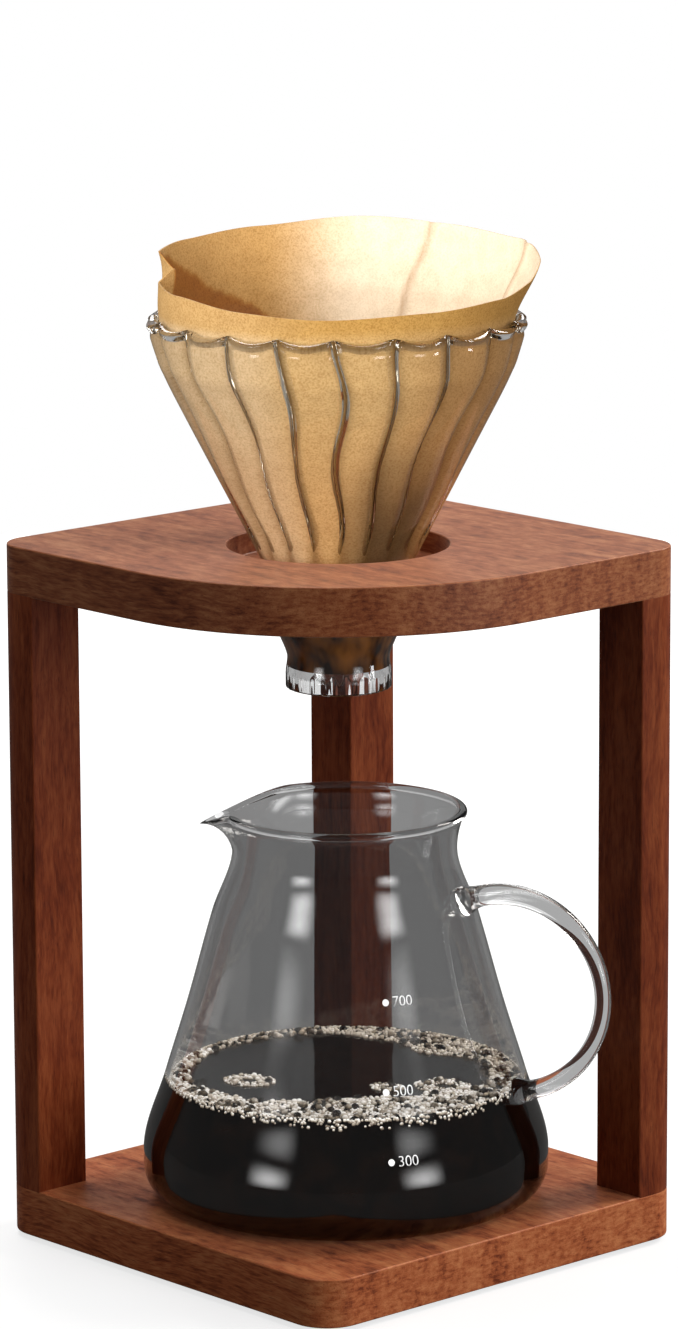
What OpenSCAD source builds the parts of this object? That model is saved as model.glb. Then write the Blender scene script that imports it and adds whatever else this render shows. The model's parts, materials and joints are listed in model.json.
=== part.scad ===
// Pour-over dripper stand with glass dripper, paper filter and carafe.
// Millimetres, +Z up, floor at z = 0, the stand's centre at x = y = 0, its round front corner at -Y.

/* [Stand] */
// Side of the square base and top plates
plate_side = 150; // [140:1:180]
// Thickness of both plates
plate_thick = 15; // [13:0.5:20]
// Radius of the small plate corners
corner_radius = 12; // [6:1:15]
// Radius of the top plate's front corner
front_radius = 82; // [20:1:90]
// Width of a square leg
leg_width = 19; // [16:1:24]
// Length of a leg between the plates
leg_length = 187; // [180:1:240]

/* [Dripper hole] */
// Radius of the hole in the top face
hole_radius = 34; // [30:0.5:40]
// Depth of the hole down to its ledge
hole_depth = 7; // [5:0.5:9]
// Radius of the tapered seat where it meets the ledge
seat_radius = 21.3; // [20.5:0.1:24]
// How much the seat narrows to the underside
seat_taper = 1.6; // [1:0.1:2]
// Gap between the dripper and its seat
seat_gap = 0.3; // [0.2:0.05:0.5]

/* [Joinery] */
// Radius of a dowel
dowel_radius = 3; // [2:0.25:3.5]
// Depth of the dowel holes in the top plate
plate_dowel_depth = 10; // [6:0.5:11]
// Depth of the dowel holes in the leg heads
head_dowel_depth = 12; // [8:0.5:20]
// Depth of the dowel holes in the base and the leg feet
foot_dowel_depth = 10; // [6:0.5:11]
// Distance between the two holes in a leg end
peg_pitch = 9; // [8:0.5:11]
// Radius of the screw shank
screw_radius = 2; // [1.5:0.25:2.5]
// Radius of the screw head
screw_head_radius = 4; // [3.5:0.25:5]
// Length of the screw
screw_length = 45; // [35:1:60]
// Gap round dowels and screws
peg_gap = 0.1; // [0.05:0.05:0.2]
// Gap left for glue at the end of a dowel
glue_gap = 0.4; // [0.2:0.1:0.8]

/* [Feet] */
// Radius of an anti-slip pad
pad_radius = 7; // [5:0.5:9]
// Thickness of an anti-slip pad
pad_thick = 1.5; // [1:0.25:3]
// Distance from a plate corner, along its diagonal, to the pad under it
pad_inset = 34; // [30:1:50]

/* [Dripper] */
// Radius over the flutes at the rim
rim_radius = 58.3; // [54:0.1:64]
// Height of the rim above the top plate
rim_height = 70; // [64:0.5:90]
// Radius over the flutes where the wall grows steeper
brow_radius = 54.7; // [50:0.1:58]
// Height of that line above the top plate
brow_height = 56; // [48:0.5:60]
// Radius over the flutes at the foot of the cone
waist_radius = 23.6; // [22.5:0.1:25]
// Depth of the foot of the cone below the top face
waist_depth = 4.5; // [3:0.5:5]
// Thickness of the glass behind the flutes
glass_wall = 2.3; // [1.5:0.1:3]
// Number of flutes round the cone
flute_count = 20; // [12:1:28]
// Depth of a flute at the rim
flute_depth = 1.6; // [0.6:0.1:2.4]
// Sideways swing of the flutes in degrees
flute_sway = 1.7; // [0:0.1:4]
// Turn of the dripper's flutes in degrees
flute_turn = 3.5; // [0:0.5:18]
// Length of the shank below the top plate
shank_length = 11; // [8:0.5:16]
// Radius of the neck under the shank
neck_radius = 15.1; // [13:0.1:17]
// Length of the taper from the shank to the neck
neck_taper = 7.5; // [5:0.5:12]
// Length of the neck
neck_length = 6; // [4:0.5:10]
// Radius of the ribbed collar at the outlet
collar_radius = 16.3; // [15:0.1:18]
// Height of the ribbed collar
collar_height = 5; // [3:0.5:8]
// Depth of the collar's ribs
rib_depth = 0.5; // [0.2:0.1:0.8]

/* [Filter] */
// Thickness of the paper
paper_thick = 0.6; // [0.4:0.1:1]
// Gap between the paper and the glass
paper_gap = 0.4; // [0.3:0.1:0.8]
// Height of the paper's edge above the top plate at the sides
paper_side_height = 86; // [76:0.5:110]
// How much higher the edge stands at the back
paper_back_rise = 5; // [0:0.5:10]
// How much lower the edge dips at the front
paper_front_dip = 8.5; // [0:0.5:12]
// Radius of the blunt tip
paper_tip_radius = 2; // [1.5:0.1:4]
// Height of the wet grounds above the top plate
grounds_level = 18; // [0:1:40]
// Gap between the grounds and the paper
grounds_gap = 0.3; // [0.2:0.1:0.6]

/* [Carafe] */
// Place of the carafe's axis to the right of the stand's centre
carafe_x = 2; // [-8:0.5:8]
// Place of the carafe's axis in front of the stand's centre
carafe_forward = 8; // [0:0.5:14]
// Turn of the handle towards the front, in degrees from the right
handle_turn = 18; // [0:1:40]
// Height of the carafe
carafe_height = 121.5; // [112:0.5:130]
// Greatest radius
belly_radius = 62.5; // [58:0.5:66]
// Height of the greatest radius
belly_height = 14; // [12:0.5:18]
// Radius of the rounded heel
heel_radius = 10; // [6:0.5:11]
// Radius at the shoulder
shoulder_radius = 55.7; // [53:0.1:58]
// Height of the shoulder
shoulder_height = 38; // [34:0.5:42]
// Radius half way up
flank_radius = 48.6; // [46:0.1:50]
// Height of the flank station
flank_height = 61; // [56:0.5:66]
// Radius under the neck
throat_radius = 40.8; // [39:0.1:43]
// Height of the throat station
throat_height = 89; // [84:0.5:92]
// Radius of the neck at its narrowest
gullet_radius = 34.4; // [32:0.1:37]
// Height of the narrowest neck
gullet_height = 109; // [104:0.5:110]
// Radius over the beaded mouth
mouth_radius = 37.2; // [36:0.1:42]
// Height of the bead at the mouth
bead_height = 2.4; // [1.6:0.1:4]
// Reach of the pouring lip beyond the mouth
lip_reach = 9.5; // [4:0.5:14]
// Droop of the pouring lip
lip_droop = 8; // [0:0.5:9]
// Half the width of the pouring lip in degrees
lip_half_angle = 42; // [25:1:60]
// Thickness of the carafe's wall
carafe_wall = 2.2; // [1.4:0.1:3]
// Thickness of the carafe's floor
carafe_floor = 3; // [2:0.1:5]
// Height of the coffee above the carafe's underside
coffee_level = 38; // [20:1:70]
// Gap between the coffee and the glass
coffee_gap = 0.35; // [0.2:0.05:0.6]

/* [Handle] */
// Radius of the handle's arc
handle_arc = 30.8; // [26:0.1:34]
// Distance of the arc's centre from the carafe's axis
handle_reach = 52.4; // [50:0.1:55]
// Height of the arc's centre above the carafe's underside
handle_height = 67.6; // [64:0.1:70]
// Radius of the handle's rod
rod_radius = 2.8; // [2:0.1:4]
// Radius of the weld at each end of the rod
weld_radius = 4.2; // [3:0.1:5.5]
// Gap between the welds and the carafe
weld_gap = 0.1; // [0.05:0.05:0.3]

/* [Hidden] */
$fn = 96;

// Turns from the front corner to each corner, in degrees
front_turn = 0;
right_turn = 90;
rear_turn = 180;
left_turn = 270;

// Heights of the stand's levels
base_z = pad_thick;
shelf_z = base_z + plate_thick;
soffit_z = shelf_z + leg_length;
deck_z = soffit_z + plate_thick;

// Overshoot of cutting shapes
cut = 1;

// Colours as the photo shows them
wood_colour = "#8f5538";
dowel_colour = "#c9a878";
steel_colour = "#b9bcc0";
rubber_colour = "#2b2b2b";
glass_colour = [0.85, 0.9, 0.9, 0.45];
paper_colour = "#c39a67";
grounds_colour = "#3a2315";
coffee_colour = "#1d0f08";

// Screw head and tip
countersink_height = screw_head_radius - screw_radius;
screw_sunk = 0.4;
screw_tip = 5;
cross_width = 0.9;
cross_depth = 1.3;
cross_span = 1.2 * screw_head_radius;

// The dripper's levels, measured from the top face of the top plate
ring_steps = 4 * flute_count;
cone_steps = 8;
rim_round = 0.9;
shank_z = -plate_thick - shank_length;
neck_z = shank_z - neck_taper;
collar_z = neck_z - neck_length;
outlet_z = collar_z - collar_height;
seat_slope = seat_taper / (plate_thick - hole_depth);
seat_foot_radius = seat_radius - seat_taper;
shank_radius = seat_foot_radius - 2 * seat_gap;
cone_slope = (brow_radius - waist_radius) / (brow_height + waist_depth);
brow_slope = (rim_radius - brow_radius) / (rim_height - brow_height);

// The filter
paper_rows = 3;
tip_z = brow_height - (paper_radius(brow_height) - paper_tip_radius) / cone_slope;

// The carafe
carafe_steps = 72;
heel_steps = 4;
body_rows = 3;
bead_z = carafe_height - bead_height;
bead_lap = 0.8;
lip_bearing = 180;

// Turns of the handle's arc between which its two ends are looked for
head_outside_turn = 90;
head_inside_turn = 150;
foot_outside_turn = -60;
foot_inside_turn = -100;
weld_steps = 20;

// Radius over the flutes of the dripper's cone at a height above the top plate
function cup_radius(z) =
    z > brow_height
    ? brow_radius + brow_slope * (z - brow_height)
    : brow_radius - cone_slope * (brow_height - z);

// Inner radius of the dripper's cone
function cup_bore(z) = cup_radius(z) - flute_depth - glass_wall;

// Outer radius of the paper
function paper_radius(z) = cup_bore(z) - paper_gap;

// A flute's depth at one bearing, from a sharp valley to a round crest
function flute_cut(bearing) = flute_depth * (1 - abs(sin(bearing * flute_count / 2)));

// One fluted ring of the dripper, which sways as it climbs
function fluted_ring(radius, z) =
    let (sway = flute_sway * sin(720 * (z + waist_depth) / (rim_height + waist_depth)))
    let (share = radius / rim_radius)
    [for (i = [0 : ring_steps - 1])
        let (bearing = 360 * i / ring_steps)
        let (r = radius - share * flute_cut(bearing))
        [r * cos(bearing + sway), r * sin(bearing + sway), z]];

// One plain round ring
function round_ring(radius, z, steps) =
    [for (i = [0 : steps - 1]) [radius * cos(360 * i / steps), radius * sin(360 * i / steps), z]];

// One ring of the collar, with a rib at every other point
function ribbed_ring(radius, z) =
    [for (i = [0 : ring_steps - 1])
        let (r = radius - (i % 2) * rib_depth)
        [r * cos(360 * i / ring_steps), r * sin(360 * i / ring_steps), z]];

// Height of the paper's edge at one bearing: back +90, front -90
function paper_edge(bearing) =
    let (lift = sin(bearing))
    paper_side_height + (lift > 0 ? paper_back_rise : paper_front_dip) * lift * abs(lift);

// One ring of the paper, at a share of the way from the brow to the paper's edge
function paper_ring(inset, share) =
    [for (i = [0 : ring_steps - 1])
        let (bearing = 360 * i / ring_steps)
        let (z = brow_height + share * (paper_edge(bearing) - brow_height))
        let (r = paper_radius(z) - inset)
        [r * cos(bearing), r * sin(bearing), z]];

// Cubic curve between two stations, each given as height, radius and slope
function between(a, b, z) =
    let (span = b[0] - a[0])
    let (t = (z - a[0]) / span)
    let (u = 1 - t)
    a[1] * u * u * (1 + 2 * t) + b[1] * t * t * (1 + 2 * u) + span * t * u * (a[2] * u - b[2] * t);

// Slope at a station, from the stations on both sides of it
function slope_at(below, above) = (above[1] - below[1]) / (above[0] - below[0]);

belly = [belly_height, belly_radius];
shoulder = [shoulder_height, shoulder_radius];
flank = [flank_height, flank_radius];
throat = [throat_height, throat_radius];
gullet = [gullet_height, gullet_radius];
mouth = [bead_z, mouth_radius - bead_lap];
stations = [
    [belly[0], belly[1], 0],
    [shoulder[0], shoulder[1], slope_at(belly, flank)],
    [flank[0], flank[1], slope_at(shoulder, throat)],
    [throat[0], throat[1], slope_at(flank, gullet)],
    [gullet[0], gullet[1], 0],
    [mouth[0], mouth[1], 2 * slope_at(gullet, mouth)]
];

// Outer radius of the carafe at a height between the belly and the mouth
function carafe_radius(z) =
    let (k = z < shoulder[0] ? 0 : z < flank[0] ? 1 : z < throat[0] ? 2 : z < gullet[0] ? 3 : 4)
    between(stations[k], stations[k + 1], z);

// Heights of the rings between the belly and the mouth
body_heights = [for (k = [0 : 4])
    for (i = [0 : body_rows - 1])
        stations[k][0] + (stations[k + 1][0] - stations[k][0]) * i / body_rows];

// Outer outline of the carafe from its foot up, as radius and height
function heel_outline(radius, floor_z, heel) =
    [for (i = [0 : heel_steps])
        let (turn = 90 * i / heel_steps)
        [radius - heel + heel * sin(turn), floor_z + heel * (1 - cos(turn))]];
outer_outline = concat(
    heel_outline(belly_radius, 0, heel_radius),
    [for (z = body_heights) [carafe_radius(z), z]],
    [[mouth[1], mouth[0]],
     [mouth_radius, bead_z + bead_height / 3],
     [mouth_radius, bead_z + 2 * bead_height / 3],
     [mouth_radius - bead_lap, carafe_height]]
);
inner_heel = heel_radius - carafe_wall;
inner_outline = concat(
    heel_outline(belly_radius - carafe_wall, carafe_floor, inner_heel),
    [for (z = body_heights) if (z > belly_height) [carafe_radius(z) - carafe_wall, z]],
    [[mouth[1] - carafe_wall, bead_z],
     [mouth_radius - bead_lap - carafe_wall, carafe_height]]
);

// Outline of the coffee, as radius and height
coffee_outline = concat(
    [[0, carafe_floor + coffee_gap]],
    heel_outline(belly_radius - carafe_wall - coffee_gap, carafe_floor + coffee_gap, inner_heel),
    [for (z = body_heights) if (z > belly_height && z < coffee_level)
        [carafe_radius(z) - carafe_wall - coffee_gap, z]],
    [[carafe_radius(coffee_level) - carafe_wall - coffee_gap, coffee_level],
     [0, coffee_level]]
);

// Share of the pouring lip at one bearing, from 0 beside it to 1 at its middle
function lip_share(bearing) =
    let (turn = abs(bearing - lip_bearing))
    turn < lip_half_angle ? (1 + cos(180 * turn / lip_half_angle)) / 2 : 0;

// One ring of the carafe, drawn out and down into the lip above the gullet
function carafe_ring(spot) =
    let (rise = max(0, (spot[1] - gullet_height) / (carafe_height - gullet_height)))
    [for (i = [0 : carafe_steps - 1])
        let (bearing = 360 * i / carafe_steps)
        let (share = lip_share(bearing))
        let (r = spot[0] + lip_reach * share * rise)
        [r * cos(bearing), r * sin(bearing), spot[1] - lip_droop * share * rise * rise]];

// Points of a stack of rings
function flat_list(rings) = [for (ring = rings) for (point = ring) point];

// A point of the handle's centre line, as distance from the carafe's axis and height
function handle_spot(turn) =
    [handle_reach + handle_arc * cos(turn), handle_height + handle_arc * sin(turn)];

// How far a point of the handle's centre line lies outside the carafe
function handle_clear(turn) =
    let (spot = handle_spot(turn))
    spot[0] - carafe_radius(spot[1]);

// Turn at which the handle's centre line meets the carafe, between one outside and one inside
function weld_turn(outside, inside, tries) =
    let (middle = (outside + inside) / 2)
    tries == 0 ? middle
    : handle_clear(middle) > 0 ? weld_turn(middle, inside, tries - 1)
    : weld_turn(outside, middle, tries - 1);
head_turn = weld_turn(head_outside_turn, head_inside_turn, weld_steps);
foot_turn = weld_turn(foot_outside_turn, foot_inside_turn, weld_steps);

// Triangles between neighbouring rings of a stack, closed on itself or not
function skin_faces(rows, steps, closed) =
    [for (j = [0 : closed ? rows - 1 : rows - 2])
        for (i = [0 : steps - 1])
            let (a = j * steps + i)
            let (b = j * steps + (i + 1) % steps)
            let (c = ((j + 1) % rows) * steps + (i + 1) % steps)
            let (d = ((j + 1) % rows) * steps + i)
            for (face = [[a, c, b], [a, d, c]]) face];

// A solid from rings that run up its outside and down its inside, with flat ends where it is shut
module ring_solid(rings, steps, open_ended) {
    rows = len(rings);
    first_cap = [for (i = [0 : steps - 1]) i];
    last_cap = [for (i = [0 : steps - 1]) rows * steps - 1 - i];
    polyhedron(
        points = flat_list(rings),
        faces = open_ended
            ? skin_faces(rows, steps, true)
            : concat(skin_faces(rows, steps, false), [first_cap, last_cap]),
        convexity = 10
    );
}

// What one corner loses to its rounding, at the front corner
module corner_waste(radius) {
    half = plate_side / 2;
    translate([-half - cut, -half - cut])
        difference() {
            square(radius + cut);
            translate([radius + cut, radius + cut])
                circle(radius);
        }
}

// Outline of a plate, its corners on the axes
module plate_outline(front) {
    rotate(45)
        difference() {
            square(plate_side, center = true);
            for (turn = [front_turn, right_turn, rear_turn, left_turn])
                rotate(turn)
                    corner_waste(turn == front_turn ? front : corner_radius);
        }
}

// Moves to a leg's middle: +X runs in to the stand's centre, +Y along the stand's side
module at_leg(turn) {
    inset = (plate_side - leg_width) / 2;
    rotate(45 + turn)
        translate([-inset, -inset])
            rotate(45)
                children();
}

// Moves to the pad under a corner
module at_pad(turn) {
    rotate(turn)
        translate([0, pad_inset - plate_side / sqrt(2)])
            children();
}

// Holes for the dowels between one leg and the top plate
module head_holes(turn) {
    at_leg(turn)
        for (side = [-1, 1])
            translate([0, side * peg_pitch / 2, soffit_z - head_dowel_depth])
                cylinder(r = dowel_radius + peg_gap, h = head_dowel_depth + plate_dowel_depth);
}

// Hole for the dowel between one leg and the base
module foot_hole(turn) {
    at_leg(turn)
        translate([0, peg_pitch / 2, shelf_z - foot_dowel_depth])
            cylinder(r = dowel_radius + peg_gap, h = 2 * foot_dowel_depth);
}

// Outline of a screw, turned about its own axis, with a gap all round
module screw_form(gap) {
    rotate_extrude()
        polygon([
            [0, -gap],
            [screw_head_radius + gap, -gap],
            [screw_radius + gap, countersink_height],
            [screw_radius + gap, screw_length - screw_tip],
            [gap / 2, screw_length + gap],
            [0, screw_length + gap]
        ]);
}

// Moves to the screw of one leg
module at_screw(turn) {
    at_leg(turn)
        translate([0, -peg_pitch / 2, base_z + screw_sunk])
            children();
}

// Hole for the screw of one leg, open at the underside
module screw_hole(turn) {
    at_screw(turn) {
        screw_form(peg_gap);
        translate([0, 0, -screw_sunk - cut])
            cylinder(r = screw_head_radius + peg_gap, h = screw_sunk + cut);
    }
}

// Top plate with the stepped hole that carries the dripper
module top_plate() {
    color(wood_colour)
        difference() {
            translate([0, 0, soffit_z])
                linear_extrude(plate_thick)
                    plate_outline(front_radius);
            translate([0, 0, deck_z - hole_depth])
                cylinder(r = hole_radius, h = hole_depth + cut);
            translate([0, 0, soffit_z - cut])
                cylinder(
                    r1 = seat_foot_radius - cut * seat_slope,
                    r2 = seat_radius + cut * seat_slope,
                    h = plate_thick - hole_depth + 2 * cut
                );
            for (turn = [left_turn, right_turn, rear_turn])
                head_holes(turn);
        }
}

// Base plate
module base_plate() {
    color(wood_colour)
        difference() {
            translate([0, 0, base_z])
                linear_extrude(plate_thick)
                    plate_outline(corner_radius);
            for (turn = [left_turn, right_turn, rear_turn]) {
                foot_hole(turn);
                screw_hole(turn);
            }
        }
}

// One leg, flush with the plates, its outer edge rounded as their corners are
module leg(turn) {
    half = plate_side / 2;
    color(wood_colour)
        difference() {
            translate([0, 0, shelf_z])
                linear_extrude(leg_length)
                    rotate(45 + turn)
                        difference() {
                            translate([-half, -half])
                                square(leg_width);
                            corner_waste(corner_radius);
                        }
            head_holes(turn);
            foot_hole(turn);
            screw_hole(turn);
        }
}

// The two dowels at the head of one leg
module head_dowels(turn) {
    color(dowel_colour)
        at_leg(turn)
            for (side = [-1, 1])
                translate([0, side * peg_pitch / 2, soffit_z - head_dowel_depth + glue_gap])
                    cylinder(r = dowel_radius, h = head_dowel_depth + plate_dowel_depth - 2 * glue_gap);
}

// The dowel at the foot of one leg
module foot_dowel(turn) {
    color(dowel_colour)
        at_leg(turn)
            translate([0, peg_pitch / 2, shelf_z - foot_dowel_depth + glue_gap])
                cylinder(r = dowel_radius, h = 2 * (foot_dowel_depth - glue_gap));
}

// The countersunk screw of one leg, with a cross slot
module base_screw(turn) {
    color(steel_colour)
        at_screw(turn)
            difference() {
                screw_form(0);
                for (slot_turn = [0, 90])
                    rotate(slot_turn)
                        translate([-cross_span / 2, -cross_width / 2, -cut])
                            cube([cross_span, cross_width, cross_depth + cut]);
            }
}

// The anti-slip pad under one corner
module foot_pad(turn) {
    color(rubber_colour)
        at_pad(turn)
            cylinder(r = pad_radius, h = pad_thick);
}

// Fluted glass dripper: cone, shank in its seat, neck and ribbed collar
module dripper() {
    cone_rise = brow_height + waist_depth;
    outside = concat(
        [ribbed_ring(collar_radius, outlet_z),
         ribbed_ring(collar_radius, collar_z),
         round_ring(neck_radius, collar_z + (collar_radius - neck_radius), ring_steps),
         round_ring(neck_radius, neck_z, ring_steps),
         round_ring(shank_radius, shank_z, ring_steps),
         round_ring(seat_foot_radius - seat_gap, -plate_thick, ring_steps),
         round_ring(seat_radius - seat_gap, -hole_depth, ring_steps)],
        [for (i = [0 : cone_steps])
            let (z = -waist_depth + cone_rise * i / cone_steps)
            fluted_ring(cup_radius(z), z)],
        [fluted_ring(cup_radius(rim_height - rim_round), rim_height - rim_round),
         fluted_ring(cup_radius(rim_height) - rim_round, rim_height)]
    );
    inside = [
        round_ring(cup_bore(rim_height) + rim_round / 2, rim_height, ring_steps),
        round_ring(cup_bore(rim_height - rim_round), rim_height - rim_round, ring_steps),
        round_ring(cup_bore(brow_height), brow_height, ring_steps),
        round_ring(cup_bore(-waist_depth), -waist_depth, ring_steps),
        round_ring(seat_foot_radius - seat_gap - glass_wall, -plate_thick, ring_steps),
        round_ring(shank_radius - glass_wall, shank_z, ring_steps),
        round_ring(neck_radius - glass_wall, neck_z, ring_steps),
        round_ring(neck_radius - glass_wall, outlet_z, ring_steps)
    ];
    color(glass_colour)
        translate([0, 0, deck_z])
            rotate(flute_turn)
                ring_solid(concat(outside, inside), ring_steps, true);
}

// Paper filter, higher at the back than at the front
module filter_paper() {
    outside = concat(
        [round_ring(paper_tip_radius, tip_z, ring_steps)],
        [for (i = [0 : paper_rows]) paper_ring(0, i / paper_rows)]
    );
    inside = concat(
        [for (i = [0 : paper_rows]) paper_ring(paper_thick, 1 - i / paper_rows)],
        [round_ring(paper_tip_radius, tip_z + paper_thick / cone_slope, ring_steps)]
    );
    color(paper_colour)
        translate([0, 0, deck_z])
            ring_solid(concat(outside, inside), ring_steps, false);
}

// Bed of wet grounds in the filter
module coffee_grounds() {
    inset = paper_thick + grounds_gap;
    floor_z = tip_z + (paper_thick + grounds_gap) / cone_slope;
    color(grounds_colour)
        translate([0, 0, deck_z])
            rotate_extrude()
                polygon([
                    [0, floor_z],
                    [paper_radius(floor_z) - inset, floor_z],
                    [paper_radius(grounds_level) - inset, grounds_level],
                    [0, grounds_level]
                ]);
}

// Moves to the carafe's foot: +X along the handle
module at_carafe() {
    translate([carafe_x, -carafe_forward, shelf_z])
        rotate(-handle_turn)
            children();
}

// Carafe with a beaded mouth and a pouring lip opposite its handle
module carafe() {
    outside = [for (spot = outer_outline) carafe_ring(spot)];
    inside = [for (i = [len(inner_outline) - 1 : -1 : 0]) carafe_ring(inner_outline[i])];
    color(glass_colour)
        at_carafe()
            ring_solid(concat(outside, inside), carafe_steps, false);
}

// Glass rod handle: the part of a ring that lies outside the carafe, with a weld at each end
module carafe_handle() {
    color(glass_colour)
        at_carafe()
            difference() {
                translate([handle_reach, 0, handle_height])
                    rotate([90, 0, 0]) {
                        rotate_extrude()
                            translate([handle_arc, 0])
                                circle(rod_radius);
                        for (turn = [foot_turn, head_turn])
                            rotate(turn)
                                translate([handle_arc, 0, 0])
                                    rotate([0, 90, 0])
                                        sphere(weld_radius);
                    }
                rotate_extrude()
                    polygon(concat(
                        [[0, 0]],
                        [for (spot = outer_outline) [spot[0] + weld_gap, spot[1]]],
                        [[0, carafe_height]]
                    ));
            }
}

// Brewed coffee in the carafe
module coffee() {
    color(coffee_colour)
        at_carafe()
            rotate_extrude()
                polygon(coffee_outline);
}

top_plate();
base_plate();
leg(left_turn);  // leg_left
leg(right_turn);  // leg_right
leg(rear_turn);  // leg_rear
head_dowels(left_turn);  // head_dowels_left
head_dowels(right_turn);  // head_dowels_right
head_dowels(rear_turn);  // head_dowels_rear
foot_dowel(left_turn);  // foot_dowel_left
foot_dowel(right_turn);  // foot_dowel_right
foot_dowel(rear_turn);  // foot_dowel_rear
base_screw(left_turn);  // base_screw_left
base_screw(right_turn);  // base_screw_right
base_screw(rear_turn);  // base_screw_rear
foot_pad(left_turn);  // foot_pad_left
foot_pad(right_turn);  // foot_pad_right
foot_pad(rear_turn);  // foot_pad_rear
foot_pad(front_turn);  // foot_pad_front
dripper();
filter_paper();
coffee_grounds();
carafe();
carafe_handle();
coffee();
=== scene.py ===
"""Looks of a pour-over dripper stand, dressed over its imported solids."""

import json
import logging
import math
import random
from dataclasses import dataclass
from enum import Enum
from functools import cache
from typing import Any, Callable, Iterable, NamedTuple, Sequence

import bpy
from mathutils import Matrix, Vector, noise

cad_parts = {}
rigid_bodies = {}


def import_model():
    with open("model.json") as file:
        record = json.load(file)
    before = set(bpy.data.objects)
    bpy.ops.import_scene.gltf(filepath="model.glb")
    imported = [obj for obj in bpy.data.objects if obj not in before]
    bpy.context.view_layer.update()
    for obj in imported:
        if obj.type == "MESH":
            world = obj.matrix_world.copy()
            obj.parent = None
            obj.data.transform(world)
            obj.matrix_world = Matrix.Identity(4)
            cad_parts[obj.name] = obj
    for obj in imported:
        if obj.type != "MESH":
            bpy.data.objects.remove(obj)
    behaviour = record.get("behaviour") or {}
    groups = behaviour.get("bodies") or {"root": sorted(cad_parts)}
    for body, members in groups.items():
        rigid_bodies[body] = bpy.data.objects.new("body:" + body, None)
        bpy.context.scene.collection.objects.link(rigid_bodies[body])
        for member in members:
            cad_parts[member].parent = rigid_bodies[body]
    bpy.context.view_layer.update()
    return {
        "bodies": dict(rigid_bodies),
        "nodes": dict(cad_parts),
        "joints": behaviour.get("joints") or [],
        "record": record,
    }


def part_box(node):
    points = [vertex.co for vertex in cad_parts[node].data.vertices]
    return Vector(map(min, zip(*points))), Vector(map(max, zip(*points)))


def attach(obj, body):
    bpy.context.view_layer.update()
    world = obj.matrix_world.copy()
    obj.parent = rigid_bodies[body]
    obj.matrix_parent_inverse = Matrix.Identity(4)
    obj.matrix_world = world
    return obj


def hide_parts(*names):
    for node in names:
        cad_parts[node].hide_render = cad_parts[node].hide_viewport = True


log = logging.getLogger("pour_over_stand")

Spot = tuple[float, float]
Colour = tuple[float, float, float]
Piece = bpy.types.Object
Node = bpy.types.Node
Socket = bpy.types.NodeSocket
NodeTree = bpy.types.NodeTree

MM = 0.001
HAIR = 1e-6
ORIGIN = (0.0, 0.0, 0.0)
IN_METRES = (1.0, 1.0, 1.0)
IN_MILLIMETRES = (1000.0, 1000.0, 1000.0)
WHITE: Colour = (1.0, 1.0, 1.0)


# Sums

def ease(low: float, high: float, value: float) -> float:
    """Goes smoothly from 0 at low to 1 at high, whichever is the greater."""
    share = min(1.0, max(0.0, (value - low) / (high - low)))
    return share * share * (3.0 - 2.0 * share)


def bell(offset: float, width: float) -> float:
    """A smooth bump: 1 at offset 0, fading out past the width."""
    return math.exp(-(offset / width) ** 2)


def evenly(low: float, high: float, rows: int) -> list[float]:
    """Evenly spaced values, both ends included."""
    return [low + (high - low) * i / rows for i in range(rows + 1)]


def ring(radius: float, bearing: float) -> Spot:
    """The place at a radius and a bearing in degrees, seen from above."""
    angle = math.radians(bearing)
    return radius * math.cos(angle), radius * math.sin(angle)


def bearing_of(spot: Vector) -> float:
    """The bearing of a spot round the upright axis, in degrees."""
    return math.degrees(math.atan2(spot.y, spot.x))


def turn_between(a: float, b: float) -> float:
    """The smaller angle between two bearings, in degrees."""
    return abs((a - b + 180.0) % 360.0 - 180.0)


def facing(bearing: float, side: float, far: float, near: float) -> float:
    """How well a bearing faces a side: 0 from far degrees away, 1 within near degrees."""
    return ease(far, near, turn_between(bearing, side))


def drift(x: float, y: float, z: float) -> float:
    """Smooth noise from -1 to 1 that depends on the place alone."""
    return noise.noise(Vector((x, y, z)))


def drift_round(pitch: float, bearing: float, z: float, shift: Spot = (0.0, 0.0)) -> float:
    """Smooth noise round a turned piece, the finer the greater its pitch."""
    x, y = ring(pitch, bearing)
    return drift(x + shift[0], y + shift[1], z)


def table_value(table: Sequence[Spot], bearing: float) -> float:
    """Reads a round table of bearing and value, eased between its rows.

    Args:
        table: rows of bearing in degrees, rising from -180 to 180, and value.
        bearing: the bearing to read at, in degrees.

    Returns:
        The value at that bearing.
    """
    bearing = (bearing + 180.0) % 360.0 - 180.0
    for (a, low), (b, high) in zip(table, table[1:]):
        if a <= bearing <= b:
            return low + (high - low) * ease(a, b, bearing)
    return table[-1][1]


# Modelling by operators

def put_down() -> None:
    """Leaves edit mode and deselects everything."""
    if bpy.context.object and bpy.context.object.mode != "OBJECT":
        bpy.ops.object.mode_set(mode="OBJECT")
    bpy.ops.object.select_all(action="DESELECT")


def take_up(piece: Piece) -> None:
    """Makes a piece the only one selected, and active."""
    put_down()
    piece.select_set(True)
    bpy.context.view_layer.objects.active = piece


def christen(name: str) -> Piece:
    """Names the active piece and its mesh."""
    piece = bpy.context.object
    piece.name = name
    piece.data.name = name
    return piece


def edit_all() -> None:
    """Enters edit mode on the active piece, with all of it selected."""
    bpy.ops.object.mode_set(mode="EDIT")
    bpy.ops.mesh.select_mode(type="VERT")
    bpy.ops.mesh.select_all(action="SELECT")


def close_up() -> None:
    """Turns every face of the edited piece outwards, and leaves edit mode."""
    bpy.ops.mesh.select_all(action="SELECT")
    bpy.ops.mesh.normals_make_consistent(inside=False)
    bpy.ops.object.mode_set(mode="OBJECT")


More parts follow.
